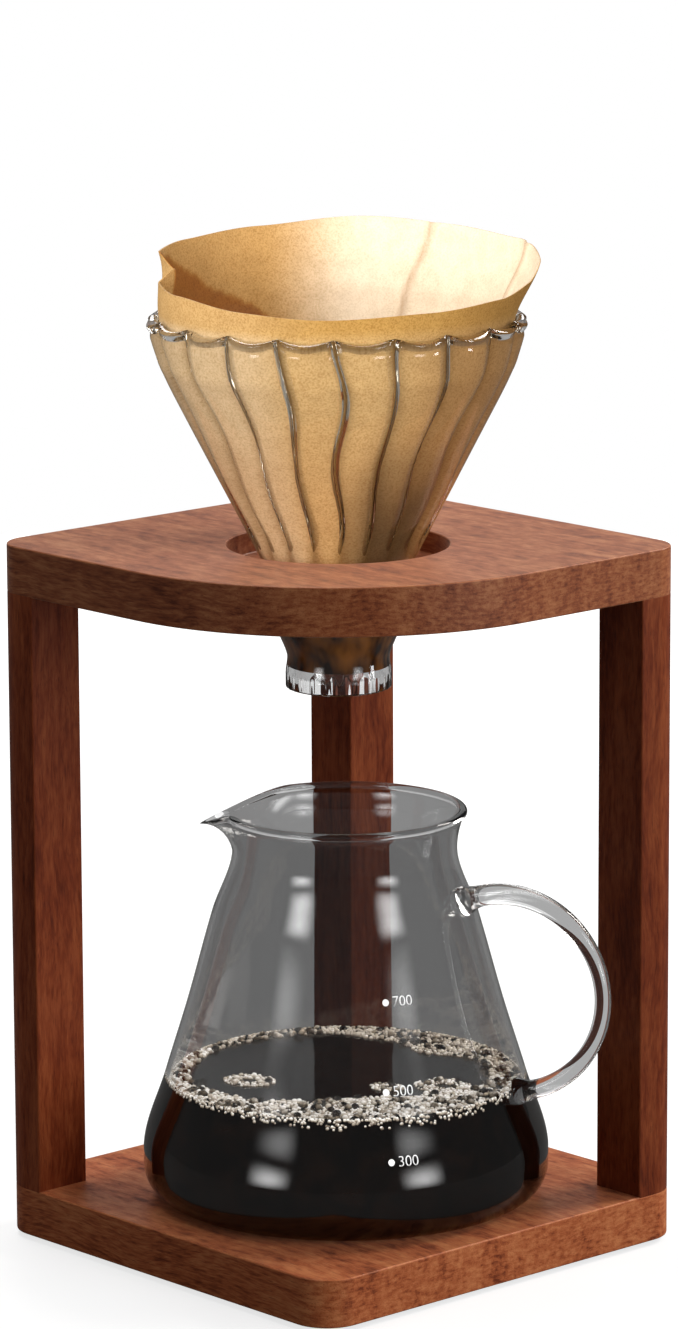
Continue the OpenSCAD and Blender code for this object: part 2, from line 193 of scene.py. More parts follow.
def upright(a: Vector, b: Vector) -> bool:
    """Whether the edge between two spots stands upright."""
    return (a.xy - b.xy).length < HAIR


def bevel_edges(piece: Piece, test: Callable[[Vector, Vector], bool], radius: float, steps: int) -> None:
    """Rounds the edges whose two ends pass a test.

    Args:
        piece: the piece to work on.
        test: takes the places of an edge's two ends.
        radius: how far from the edge the rounding starts, in metres.
        steps: how many faces the rounding has.
    """
    take_up(piece)
    bpy.ops.object.mode_set(mode="EDIT")
    bpy.ops.mesh.select_mode(type="EDGE")
    bpy.ops.mesh.select_all(action="DESELECT")
    bpy.ops.object.mode_set(mode="OBJECT")
    spots = piece.data.vertices
    for edge in piece.data.edges:
        edge.select = test(spots[edge.vertices[0]].co, spots[edge.vertices[1]].co)
    bpy.ops.object.mode_set(mode="EDIT")
    bpy.ops.mesh.bevel(offset=radius, segments=steps, affect="EDGES")
    bpy.ops.object.mode_set(mode="OBJECT")


def apply_step(piece: Piece, kind: str, **settings: Any) -> None:
    """Adds a modifier with these settings and applies it."""
    take_up(piece)
    step = piece.modifiers.new(kind.lower(), kind)
    for key, value in settings.items():
        setattr(step, key, value)
    bpy.ops.object.modifier_apply(modifier=step.name)


def smooth(piece: Piece, degrees: float) -> None:
    """Shades a piece smooth, but for edges sharper than an angle."""
    take_up(piece)
    bpy.ops.object.shade_smooth_by_angle(angle=math.radians(degrees))


def reshape(piece: Piece, move: Callable[[Vector], Vector]) -> None:
    """Moves each point of a piece to where a function puts it."""
    for spot in piece.data.vertices:
        spot.co = move(spot.co.copy())
    piece.data.update()


def write_layer(piece: Piece, name: str, values: Sequence[float]) -> None:
    """Writes a value for each point of a piece, which its material reads by name."""
    piece.data.attributes.new(name, "FLOAT", "POINT").data.foreach_set("value", values)


def paint(piece: Piece, name: str, value: Callable[[Vector], float]) -> None:
    """Paints each point of a piece with the value that a function gives its place."""
    write_layer(piece, name, [value(spot.co) for spot in piece.data.vertices])


def square_block(name: str, side: float, low: float, high: float, place: Spot = (0.0, 0.0)) -> Piece:
    """Models an upright square block with a corner to the front. Lengths in metres.

    Args:
        name: the new piece's name.
        side: width of its four sides.
        low: height of its underside.
        high: height of its top.
        place: where its middle stands.

    Returns:
        The block.
    """
    put_down()
    bpy.ops.mesh.primitive_cube_add(size=1.0, location=ORIGIN)
    piece = christen(name)
    edit_all()
    bpy.ops.transform.resize(value=(side, side, high - low), center_override=ORIGIN)
    bpy.ops.transform.rotate(value=math.pi / 4, orient_axis="Z", center_override=ORIGIN)
    bpy.ops.transform.translate(value=(*place, (low + high) / 2))
    return piece


def lathe(name: str, outline: Sequence[Spot], steps: int) -> Piece:
    """Turns an outline about the upright axis.

    Args:
        name: the new piece's name.
        outline: radius and height of each point, in order along the surface.
        steps: how many sides the turned shape has.

    Returns:
        The turned piece, its doubles merged and its faces outwards.
    """
    put_down()
    bpy.ops.mesh.primitive_plane_add(size=MM, location=ORIGIN)
    piece = christen(name)
    edit_all()
    bpy.ops.mesh.merge(type="CENTER")
    bpy.ops.transform.translate(value=(outline[0][0], 0.0, outline[0][1]))
    for (r0, z0), (r1, z1) in zip(outline, outline[1:]):
        bpy.ops.mesh.extrude_region_move(TRANSFORM_OT_translate={"value": (r1 - r0, 0.0, z1 - z0)})
    bpy.ops.mesh.select_all(action="SELECT")
    bpy.ops.mesh.spin(steps=steps, angle=math.tau, center=ORIGIN, axis=(0.0, 0.0, 1.0))
    bpy.ops.mesh.select_all(action="SELECT")
    bpy.ops.mesh.remove_doubles(threshold=0.002 * MM)
    close_up()
    return piece


def join(name: str, parts: Sequence[Piece]) -> Piece:
    """Joins several pieces into one."""
    put_down()
    for part in parts:
        part.select_set(True)
    bpy.context.view_layer.objects.active = parts[0]
    bpy.ops.object.join()
    return christen(name)


def fit_out(piece: Piece, body: str, stands_for: Sequence[str], finish: "Finish") -> None:
    """Gives a piece its finish and its body, and hides the CAD nodes that it replaces.

    Args:
        piece: the piece to fit out.
        body: the CAD body it moves with.
        stands_for: the CAD nodes it replaces.
        finish: what it is made of.
    """
    put_down()
    piece.data.materials.clear()
    piece.data.materials.append(finish.material())
    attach(piece, body)
    if stands_for:
        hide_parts(*stands_for)
    log.info("%s: %d faces on %s", piece.name, len(piece.data.polygons), body)


# Wiring of shader nodes

def opaque(value: Any) -> Any:
    """A colour with its alpha, or a socket as it is."""
    return value if isinstance(value, Socket) else (*value, 1.0)


class Board:
    """A node tree that is being wired."""

    def __init__(self, tree: NodeTree) -> None:
        """Starts from an empty tree."""
        self.tree = tree
        tree.nodes.clear()

    def feed(self, socket: Socket, value: Any) -> None:
        """Links a socket to an input, or sets a value on it."""
        if isinstance(value, Socket):
            self.tree.links.new(value, socket)
        else:
            socket.default_value = value

    def add(self, kind: str, props: dict[str, Any] | None = None, **inputs: Any) -> Node:
        """Adds a node.

        Args:
            kind: the node's type, without its ShaderNode prefix.
            props: the node's own settings.
            inputs: values or sockets by input name, with _ for a blank, or by number as n0, n1.

        Returns:
            The new node.
        """
        node = self.tree.nodes.new(kind if kind.startswith("Node") else f"ShaderNode{kind}")
        for key, value in (props or {}).items():
            setattr(node, key, value)
        for key, value in inputs.items():
            numbered = key[0] == "n" and key[1:].isdigit()
            self.feed(node.inputs[int(key[1:]) if numbered else key.replace("_", " ")], value)
        return node

    def shader(self, **inputs: Any) -> Node:
        """Adds a Principled shader."""
        return self.add("BsdfPrincipled", None, **inputs)

    def group(self, tree: NodeTree, **inputs: Any) -> Node:
        """Places a node group with its own values."""
        return self.add("Group", {"node_tree": tree}, **inputs)

    def sum(self, operation: str, a: Any, b: Any = 0.0) -> Socket:
        """Adds a Math node and gives its result."""
        return self.add("Math", {"operation": operation}, n0=a, n1=b).outputs[0]

    def weigh(self, first: tuple[Socket, float], *others: tuple[Socket, float]) -> Socket:
        """Adds up values, each times its weight."""
        total = self.sum("MULTIPLY", *first)
        for part in others:
            total = self.sum("ADD", total, self.sum("MULTIPLY", *part))
        return total

    def span(self, value: Any, low: float, high: float, to_low: float, to_high: float) -> Socket:
        """Maps a value from one range to another, held within it."""
        node = self.add("MapRange", None, Value=value, From_Min=low, From_Max=high,
                        To_Min=to_low, To_Max=to_high)
        return node.outputs["Result"]

    def blend(self, share: Any, a: Any, b: Any, how: str = "MIX") -> Socket:
        """Mixes two colours and gives the result."""
        props = {"data_type": "RGBA", "blend_type": how}
        return self.add("Mix", props, n0=share, n6=opaque(a), n7=opaque(b)).outputs[2]

    def ramp(self, value: Any, stops: Sequence[tuple[float, Colour]]) -> Socket:
        """Maps a value to a colour through stops of place and colour."""
        node = self.add("ValToRGB", None, Fac=value)
        points = node.color_ramp.elements
        while len(points) < len(stops):
            points.new(0.5)
        for point, (place, colour) in zip(points, stops):
            point.position = place
            point.color = opaque(colour)
        return node.outputs["Color"]

    def place(self, scale: Sequence[float] = IN_MILLIMETRES, turn: Sequence[float] = ORIGIN,
              shift: Sequence[float] = ORIGIN) -> Socket:
        """Object coordinates, turned by degrees, then scaled and moved."""
        source = self.add("TexCoord").outputs["Object"]
        turned = self.add("Mapping", None, Vector=source, Rotation=[math.radians(t) for t in turn])
        moved = self.add("Mapping", None, Vector=turned.outputs[0], Scale=scale, Location=shift)
        return moved.outputs[0]

    def mottle(self, place: Socket, **settings: Any) -> Socket:
        """Smooth noise at a place, one unit across unless its scale is given."""
        return self.add("TexNoise", None, Vector=place, **{"Scale": 1.0, **settings}).outputs["Fac"]

    def bump(self, height: Socket, strength: float, distance: float = MM) -> Socket:
        """The normal of a surface roughened by a height."""
        return self.add("Bump", None, Height=height, Strength=strength, Distance=distance).outputs[0]

    def painted(self, name: str) -> Socket:
        """A value painted on the mesh."""
        return self.add("Attribute", {"attribute_name": name}).outputs["Fac"]

    def finish(self, shader: Node, volume: Node | None = None) -> None:
        """Wires a shader, and a volume if there is one, to the output."""
        out = self.add("OutputMaterial", None, Surface=shader.outputs[0])
        if volume:
            self.feed(out.inputs["Volume"], volume.outputs[0])


def new_group(name: str, inputs: Iterable[tuple[str, str, Any]],
              outputs: Iterable[str]) -> tuple[Board, Node, Node]:
    """Starts a shader node group.

    Args:
        name: the group's name.
        inputs: name, socket type and default of each input.
        outputs: names of the values it puts out.

    Returns:
        The group's board, its input node and its output node.
    """
    tree = bpy.data.node_groups.new(name, "ShaderNodeTree")
    for label, kind, default in inputs:
        socket = tree.interface.new_socket(label, in_out="INPUT", socket_type=f"NodeSocket{kind}")
        if default is not None:
            socket.default_value = default
    for label in outputs:
        tree.interface.new_socket(label, in_out="OUTPUT", socket_type="NodeSocketFloat")
    board = Board(tree)
    return board, board.add("NodeGroupInput"), board.add("NodeGroupOutput")


@cache
def figure_group() -> NodeTree:
    """Wood figure in millimetres, its grain along X: streaks, pores and growth layers."""
    inputs = [("Place", "Vector", None), ("Layers", "Float", 0.3)]
    board, given, made = new_group("wood figure", inputs, ["Tone", "Pores", "Height"])
    place = given.outputs["Place"]
    sway = board.add("TexNoise", None, Vector=place, Scale=0.018, Detail=2.0)
    bent = board.add("VectorMath", {"operation": "MULTIPLY_ADD"}, n0=sway.outputs["Color"],
                     n1=(0.0, 9.0, 9.0), n2=place).outputs[0]

    def streak(scale: Sequence[float], detail: float) -> Socket:
        """Noise drawn out along the grain."""
        drawn = board.add("Mapping", None, Vector=bent, Scale=scale).outputs[0]
        return board.mottle(drawn, Detail=detail, Roughness=0.6)

    broad = streak((0.022, 0.13, 0.035), 3.0)
    middle = streak((0.045, 0.50, 0.50), 4.0)
    fine = streak((0.22, 2.6, 2.6), 2.0)
    pore = streak((0.20, 3.2, 3.2), 1.0)
    rings = streak((0.16, 0.30, 1.05), 2.5)
    tone = board.weigh((broad, 0.42), (middle, 0.36), (fine, 0.22))
    lift = board.sum("MULTIPLY", board.sum("SUBTRACT", rings, 0.5), given.outputs["Layers"])
    holes = board.span(pore, 0.60, 0.70, 0.0, 1.0)
    board.feed(made.inputs["Tone"], board.sum("ADD", tone, lift))
    board.feed(made.inputs["Pores"], holes)
    board.feed(made.inputs["Height"], board.sum("SUBTRACT", board.sum("MULTIPLY", fine, 0.5), holes))
    return board.tree


@cache
def wear_and_highlight_group() -> NodeTree:
    """Wear and painted highlight along the marked edges, broken up by noise."""
    inputs = [("Place", "Vector", None), ("Amount", "Float", 0.5)]
    board, given, made = new_group("edge wear and highlight", inputs, ["Mask"])
    patchy = board.mottle(given.outputs["Place"], Scale=0.16, Detail=4.0)
    mask = board.sum("MULTIPLY", board.painted("edge"), board.span(patchy, 0.35, 0.62, 0.35, 1.0))
    board.feed(made.inputs["Mask"], board.sum("MULTIPLY", mask, given.outputs["Amount"]))
    return board.tree


@cache
def speckle_group() -> NodeTree:
    """Fine grains in millimetres, with a coarser mottle."""
    inputs = [("Place", "Vector", None), ("Size", "Float", 1.0)]
    board, given, made = new_group("speckle", inputs, ["Grains", "Mottle"])
    place = given.outputs["Place"]
    pitch = board.sum("DIVIDE", 1.0, given.outputs["Size"])
    coarse = board.sum("MULTIPLY", pitch, 0.12)
    board.feed(made.inputs["Grains"], board.mottle(place, Scale=pitch, Detail=3.0, Roughness=0.7))
    board.feed(made.inputs["Mottle"], board.mottle(place, Scale=coarse, Detail=3.0))
    return board.tree


# Finishes

class Grain(Enum):
    """Which way a board's grain runs, as the turn in degrees that brings it to X."""

    ALONG_LEFT_EDGE = (0.0, 0.0, 45.0)
    UPRIGHT = (0.0, 90.0, 0.0)


class Finish:
    """What a piece is made of."""

    name: str

    def material(self) -> bpy.types.Material:
        """The finish as a material, made once."""
        known = bpy.data.materials.get(self.name)
        if known:
            return known
        made = bpy.data.materials.new(self.name)
        made.use_nodes = True
        self.wire(Board(made.node_tree))
        return made

    def wire(self, board: Board) -> None:
        """Wires the finish's own nodes."""
        raise NotImplementedError


@dataclass(frozen=True)
class OiledWood(Finish):
    """Oiled reddish-brown hardwood with a satin sheen."""

    name: str
    grain: Grain
    shift: tuple[float, float, float] = ORIGIN
    dark: Colour = (0.130, 0.026, 0.0085)
    middle: Colour = (0.298, 0.080, 0.027)
    pale: Colour = (0.460, 0.170, 0.067)
    roughness: float = 0.42
    layers: float = 0.5
    pores: float = 0.55
    wear_and_highlight: float = 0.35
    sheen: float = 0.28
    sheen_tint: Colour = (1.0, 0.78, 0.64)
    gloss: float = 0.25

    def wire(self, board: Board) -> None:
        """Streaks and layers of the grain, dark pores, and paler edges that are partly wear and partly
        painted highlight.
        """
        place = board.place(IN_MILLIMETRES, self.grain.value, self.shift)
        figure = board.group(figure_group(), Place=place, Layers=self.layers)
        tone = figure.outputs["Tone"]
        colour = board.ramp(tone, [(0.33, self.dark), (0.47, self.middle), (0.64, self.pale)])
        colour = board.blend(board.sum("MULTIPLY", figure.outputs["Pores"], self.pores), colour, self.dark)
        # Paler eased edges: partly wear, partly a painted highlight where the edges would catch the light.
        pale_edges = board.group(wear_and_highlight_group(), Place=place, Amount=self.wear_and_highlight)
        board.finish(board.shader(
            Base_Color=board.blend(pale_edges.outputs["Mask"], colour, self.pale),
            Roughness=board.span(tone, 0.3, 0.7, self.roughness + 0.08, self.roughness - 0.06),
            Normal=board.bump(figure.outputs["Height"], 0.25, 0.12 * MM),
            Specular_IOR_Level=self.gloss, Coat_Weight=0.2 * self.gloss, Coat_Roughness=0.28,
            Sheen_Weight=self.sheen, Sheen_Roughness=0.35, Sheen_Tint=opaque(self.sheen_tint),
        ))


@dataclass(frozen=True)
class BlownGlass(Finish):
    """Clear glass with a slight ripple, darker through its thickness."""

    name: str
    tint: Colour = WHITE
    depth_tint: Colour = (0.45, 0.46, 0.46)
    density: float = 60.0
    ripple: float = 0.02
    ripple_size: float = 9.0
    passed: Colour = (0.97, 0.97, 0.97)
    # Painted shade along a painted mask: a darker glass tint, and darker light let through, which lays
    # painted shadow lines on what is behind.
    groove_shade_tint: Colour | None = None
    groove_shadow_passed: Colour = (0.5, 0.5, 0.5)

    def wire(self, board: Board) -> None:
        """Rippled glass that lets the lamps' light through to what is inside."""
        wave = board.mottle(board.place((1000.0 / self.ripple_size,) * 3), Detail=1.0)
        glass = board.shader(Base_Color=opaque(self.tint), Roughness=0.0, IOR=1.47, Transmission_Weight=1.0,
                             Normal=board.bump(wave, self.ripple))
        clear = board.add("BsdfTransparent", None, Color=opaque(self.passed))
        # Painted shade: where the mask is painted, the tint darkens into dark lines and the light let
        # through darkens into painted shadow lines.
        if self.groove_shade_tint:
            groove_shade = board.painted("groove_shade")
            tint = board.ramp(groove_shade, [(0.0, self.tint), (1.0, self.groove_shade_tint)])
            painted_brightness = board.ramp(groove_shade, [(0.0, self.passed), (1.0, self.groove_shadow_passed)])
            board.feed(glass.inputs["Base Color"], tint)
            board.feed(clear.inputs["Color"], painted_brightness)
        ray = board.add("LightPath").outputs
        passing = board.sum("MAXIMUM", ray["Is Shadow Ray"], ray["Is Diffuse Ray"])
        shader = board.add("MixShader", None, n0=passing, n1=glass.outputs[0], n2=clear.outputs[0])
        depth = board.add("VolumeAbsorption", None, Color=opaque(self.depth_tint), Density=self.density)
        board.finish(shader, depth)


@dataclass(frozen=True)
class KraftPaper(Finish):
    """Unbleached crêped paper, darker where it is wet, with painted shade along its creases, and paler where
    it is dry and where light is painted on it.
    """

    name: str
    dry: Colour = (0.63, 0.362, 0.098)
    # Also the colour of painted light on the paper's lit sides.
    pale: Colour = (0.90, 0.745, 0.555)
    wet: Colour = (0.37, 0.135, 0.017)
    # The colour of the painted shade along the creases.
    crease_shade: Colour = (0.42, 0.23, 0.11)
    steeped: Colour = (0.085, 0.048, 0.016)
    fibre: Colour = (0.70, 0.60, 0.44)
    cloudy: Colour = (0.86, 0.84, 0.80)

    def wire(self, board: Board) -> None:
        """Fibre speckle over painted wet, pale, crease and steeped values."""
        speck = board.group(speckle_group(), Place=board.place(), Size=0.6)
        grains = speck.outputs["Grains"]
        colour = board.blend(board.painted("pale"), self.dry, self.pale)
        # The crease layer lays painted shade along the creases; the pale and wet layers also carry painted
        # light and shade on the paper's sides.
        for layer, tone in (("wet", self.wet), ("crease", self.crease_shade), ("steeped", self.steeped)):
            colour = board.blend(board.painted(layer), colour, tone)
        fibre = board.ramp(grains, [(0.34, self.fibre), (0.56, WHITE)])
        colour = board.blend(board.painted("fibre"), colour, board.blend(1.0, colour, fibre, "MULTIPLY"))
        cloud = board.ramp(speck.outputs["Mottle"], [(0.35, self.cloudy), (0.60, WHITE)])
        board.finish(board.shader(
            Base_Color=board.blend(0.6, colour, board.blend(1.0, colour, cloud, "MULTIPLY")),
            Normal=board.bump(grains, 0.35, 0.15 * MM),
            Roughness=board.span(board.painted("wet"), 0.0, 1.0, 0.85, 0.5), Specular_IOR_Level=0.25,
        ))


@dataclass(frozen=True)
class Speckled(Finish):
    """A speckled surface: grounds, rubber, steel, white print, dowel wood."""

    name: str
    low: Colour
    high: Colour
    grain: float
    roughness: float
    relief: float
    metallic: float = 0.0
    gloss: float = 0.5

    def wire(self, board: Board) -> None:
        """Two tones mixed by grains and mottle, with a bump."""
        speck = board.group(speckle_group(), Place=board.place(), Size=self.grain).outputs
        share = board.weigh((speck["Grains"], 0.6), (speck["Mottle"], 0.4))
        board.finish(board.shader(
            Base_Color=board.ramp(share, [(0.34, self.low), (0.66, self.high)]), Metallic=self.metallic,
            Normal=board.bump(speck["Grains"], self.relief, 0.2 * self.grain * MM),
            Roughness=board.span(share, 0.3, 0.7, self.roughness + 0.06, self.roughness - 0.06),
            Specular_IOR_Level=self.gloss,
        ))


@dataclass(frozen=True)
class BlackCoffee(Finish):
    """Brewed coffee: nearly black, glossy, a little brown where it is thin."""

    name: str
    deep: Colour = (0.003, 0.0018, 0.0013)
    thin: Colour = (0.014, 0.0062, 0.0034)

    def wire(self, board: Board) -> None:
        """Slow swirls of a thin brown in the black."""
        swirl = board.mottle(board.place((90.0, 90.0, 90.0)), Detail=3.0, Distortion=0.8)
        board.finish(board.shader(
            Base_Color=board.ramp(swirl, [(0.42, self.deep), (0.74, self.thin)]), IOR=1.34,
            Normal=board.bump(swirl, 0.03), Roughness=board.span(swirl, 0.3, 0.7, 0.03, 0.07),
        ))


@dataclass(frozen=True)
class CoffeeFilm(Finish):
    """Thin coffee running down glass: amber where it is thin, dark brown where it gathers."""

    name: str
    thin: Colour = (0.440, 0.150, 0.020)
    thick: Colour = (0.028, 0.010, 0.004)

    def wire(self, board: Board) -> None:
        """Upright runs of dark and amber."""
        runs = board.mottle(board.place((160.0, 160.0, 60.0)), Detail=2.0)
        board.finish(board.shader(
            Base_Color=board.ramp(runs, [(0.40, self.thick), (0.66, self.thin)]), IOR=1.34,
            Roughness=board.span(runs, 0.3, 0.7, 0.12, 0.2),
        ))


@dataclass(frozen=True)
class Froth(Finish):
    """Pale wet foam, with painted shade darkening its bubbles towards their feet."""

    name: str
    low: Colour = (0.11, 0.072, 0.050)
    middle: Colour = (0.47, 0.40, 0.31)
    high: Colour = (0.95, 0.92, 0.87)

    def wire(self, board: Board) -> None:
        """Tones painted on the bubbles, over a fine film."""
        tone = board.painted("froth")
        film = board.mottle(board.place((900.0, 900.0, 900.0)), Detail=1.0)
        board.finish(board.shader(
            Base_Color=board.ramp(tone, [(0.12, self.low), (0.50, self.middle), (0.90, self.high)]),
            Normal=board.bump(film, 0.2, 0.3 * MM),
            Roughness=board.span(tone, 0.0, 1.0, 0.30, 0.18), Specular_IOR_Level=0.6,
        ))


@dataclass(frozen=True)
class BubbleFilm(Finish):
    """Clear film of a bubble that stands on the coffee."""

    name: str
    tint: Colour = (0.93, 0.86, 0.78)

    def wire(self, board: Board) -> None:
        """Wet clear domes with a faint brown tint."""
        film = board.mottle(board.place((700.0, 700.0, 700.0)), Detail=1.0)
        board.finish(board.shader(
            Base_Color=opaque(self.tint), Roughness=0.04, IOR=1.33, Transmission_Weight=1.0,
            Normal=board.bump(film, 0.15, 0.3 * MM),
        ))


# Heights that the pieces share

@dataclass(frozen=True)
class Levels:
    """Heights of the stand's levels in metres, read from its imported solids."""

    base: float
    shelf: float
    soffit: float
    deck: float

    @classmethod
    def read(cls) -> "Levels":
        """Reads the levels from the boxes of the two plates."""
        low, shelf = (corner[2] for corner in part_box("base_plate"))
        soffit, deck = (corner[2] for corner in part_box("top_plate"))
        return cls(low, shelf, soffit, deck)

    def over_deck(self, spot: Vector) -> Vector:
        """Brings a spot in millimetres over the deck to the stand's frame."""
        return spot * MM + Vector((0.0, 0.0, self.deck))


# The stand

class Leg(NamedTuple):
    """Where a leg stands, where its figure is cut from, and the painted light that scales its wood for how
    brightly it is lit.
    """

    side: str
    bearing: float
    shift: float
    painted_brightness: float


@dataclass
class WoodStand:
    """Two plates, three legs and four pads. Sizes in millimetres."""

    levels: Levels
    plate_side: float = 150.0
    corner_radius: float = 12.0
    corner_steps: int = 12
    front_radius: float = 82.0
    leg_width: float = 19.0
    hole_radius: float = 34.0
    hole_depth: float = 7.0
    seat_radius: float = 21.3
    seat_foot_radius: float = 19.7
    plate_ease: float = 0.55
    leg_ease: float = 0.6
    leg_tones: tuple[Colour, ...] = (
        (0.075, 0.011, 0.0035), (0.190, 0.034, 0.0098), (0.310, 0.076, 0.025),
    )
    # The last number of each leg is painted light: it scales that leg's wood tones up or down for how
    # brightly the leg is lit.
    legs: tuple[Leg, ...] = (
        Leg("left", 180.0, 150.0, 1.15), Leg("right", 0.0, 460.0, 0.9), Leg("rear", 90.0, 790.0, 1.0),
    )
    pad_radius: float = 7.0
    pad_thick: float = 1.5

    def build(self, frame: dict[str, Any]) -> None:
        """Builds and dresses the stand's pieces, and dresses its dowels and screws.

        Args:
            frame: the loaded frame, with the CAD nodes by name.
        """
        top = self.plate("top_plate_board", self.levels.soffit, self.levels.deck, self.front_radius)
        self.bore_seat(top)
        self.ease_edges(top, self.plate_ease)
        fit_out(top, "stand", ["top_plate"],
                OiledWood("oiled wood of the top plate", Grain.ALONG_LEFT_EDGE, (37.0, 11.0, 5.0)))
        base = self.plate("base_plate_board", self.levels.base, self.levels.shelf, self.corner_radius)
        self.ease_edges(base, self.plate_ease)
        # Painted light: the base plate gets paler tones than the same wood on top, standing in for the light
        # that the top plate and legs keep off it.
        fit_out(base, "stand", ["base_plate"],
                OiledWood("oiled wood of the base plate", Grain.ALONG_LEFT_EDGE, (410.0, 87.0, 31.0),
                          dark=(0.175, 0.033, 0.0100), middle=(0.450, 0.115, 0.038),
                          pale=(0.620, 0.218, 0.083), sheen=0.12, gloss=0.18))
        for side, bearing, shift, painted_brightness in self.legs:
            # Painted light: each leg gets a lit or shaded copy of the same wood, its tones scaled by its
            # painted brightness.
            dark, middle, pale = (tuple(painted_brightness * part for part in tone) for tone in self.leg_tones)
            leg = self.leg(f"leg_{side}_post", bearing)
            self.ease_edges(leg, self.leg_ease)
            fit_out(leg, "stand", [f"leg_{side}"],
                    OiledWood(f"oiled wood of the {side} leg", Grain.UPRIGHT, (shift, 0.4 * shift, 63.0),
                              dark, middle, pale, layers=0.3, sheen=0.06, gloss=0.13))
        rubber = Speckled("pad rubber", (0.012, 0.012, 0.012), (0.035, 0.034, 0.033), 0.5, 0.75, 0.3)
        for side in ("left", "right", "rear", "front"):
            pad = self.pad(f"pad_{side}_disc", f"foot_pad_{side}")
            fit_out(pad, "stand", [f"foot_pad_{side}"], rubber)
        self.dress_fixings(frame)

    def plate(self, name: str, low: float, high: float, front: float) -> Piece:
        """Models a square plate, corner to the front.

        Args:
            name: the piece's name.
            low: height of its underside, in metres.
            high: height of its top face, in metres.
            front: radius of its front corner.

        Returns:
            The plate with its corners rounded.
        """
        piece = square_block(name, self.plate_side * MM, low, high)
        far = 0.9 * self.plate_side * MM / math.sqrt(2.0)
        front_steps = max(self.corner_steps, int(front / 1.6))
        bevel_edges(piece, lambda a, b: upright(a, b) and a.y < -far, front * MM, front_steps)
        bevel_edges(piece, lambda a, b: upright(a, b) and max(abs(a.x), a.y) > far,
                    self.corner_radius * MM, self.corner_steps)
        return piece

    def bore_seat(self, plate: Piece) -> None:
        """Cuts the stepped hole that carries the dripper."""
        past = 2.0 * MM
        low, high = self.levels.soffit - past, self.levels.deck + past
        ledge = self.levels.deck - self.hole_depth * MM
        foot, seat, hole = self.seat_foot_radius * MM, self.seat_radius * MM, self.hole_radius * MM
        outline = [(0.0, low), (foot, low), (foot, self.levels.soffit), (seat, ledge),
                   (hole, ledge), (hole, high), (0.0, high)]
        drill = lathe("seat_drill", outline, 128)
        apply_step(plate, "BOOLEAN", operation="DIFFERENCE", solver="EXACT", object=drill)
        bpy.data.objects.remove(drill)

    def leg(self, name: str, bearing: float) -> Piece:
        """Models one leg, its outer edge rounded as the plates' corners are.

        Args:
            name: the piece's name.
            bearing: where the leg stands, in degrees from the right.

        Returns:
            The leg between the two plates, its eased ends let into them.
        """
        let_in = self.leg_ease * MM
        reach = (self.plate_side - self.leg_width) * MM / math.sqrt(2.0)
        way = Vector((*ring(1.0, bearing), 0.0))
        piece = square_block(name, self.leg_width * MM, self.levels.shelf - let_in,
                             self.levels.soffit + let_in, (reach * way.x, reach * way.y))
        outer = reach + 0.4 * self.leg_width * MM
        bevel_edges(piece, lambda a, b: upright(a, b) and a.dot(way) > outer,
                    self.corner_radius * MM, self.corner_steps)
        return piece

    def ease_edges(self, piece: Piece, width: float) -> None:
        """Rounds a board's sharp edges a little, and paints where they are."""
        apply_step(piece, "BEVEL", width=width * MM, segments=3, limit_method="ANGLE",
                   angle_limit=math.radians(40.0))
        smooth(piece, 50.0)
        apply_step(piece, "WEIGHTED_NORMAL", keep_sharp=True)
        spots = piece.data.vertices
        narrow = 0.7 * width * MM
        flat = set()
        for face in piece.data.polygons:
            ends = list(face.vertices)
            sides = [(spots[a].co - spots[b].co).length for a, b in zip(ends, ends[1:] + ends[:1])]
            if min(sides) > narrow or len(ends) > 4:
                flat.update(ends)
        write_layer(piece, "edge", [0.0 if i in flat else 1.0 for i in range(len(spots))])

    def pad(self, name: str, node: str) -> Piece:
        """Models one anti-slip pad, with a shallow ring underneath."""
        low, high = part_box(node)
        middle = Vector(((low[0] + high[0]) / 2, (low[1] + high[1]) / 2, low[2]))
        rim, top = self.pad_radius, self.pad_thick
        outline = [(0.0, 0.3), (2.6, 0.3), (3.2, 0.0), (rim - 0.5, 0.0), (rim - 0.12, 0.14), (rim, 0.5),
                   (rim, top - 0.3), (rim - 0.25, top), (0.0, top)]
        piece = lathe(name, [(r * MM, z * MM) for r, z in outline], 48)
        reshape(piece, lambda spot: spot + middle)
        smooth(piece, 35.0)
        return piece

    def dress_fixings(self, frame: dict[str, Any]) -> None:
        """Gives the dowels and screws their finishes."""
        beech = Speckled("beech dowel", (0.42, 0.27, 0.14), (0.62, 0.45, 0.27), 0.9, 0.6, 0.3)
        steel = Speckled("zinc-plated steel", (0.42, 0.43, 0.44), (0.62, 0.63, 0.64), 0.5, 0.34, 0.12, 1.0)
        for name, node in frame["nodes"].items():
            finish = beech if "dowel" in name else steel if "screw" in name else None
            if finish:
                node.data.materials.clear()
                node.data.materials.append(finish.material())
                log.info("%s: CAD node dressed", name)


# The dripper

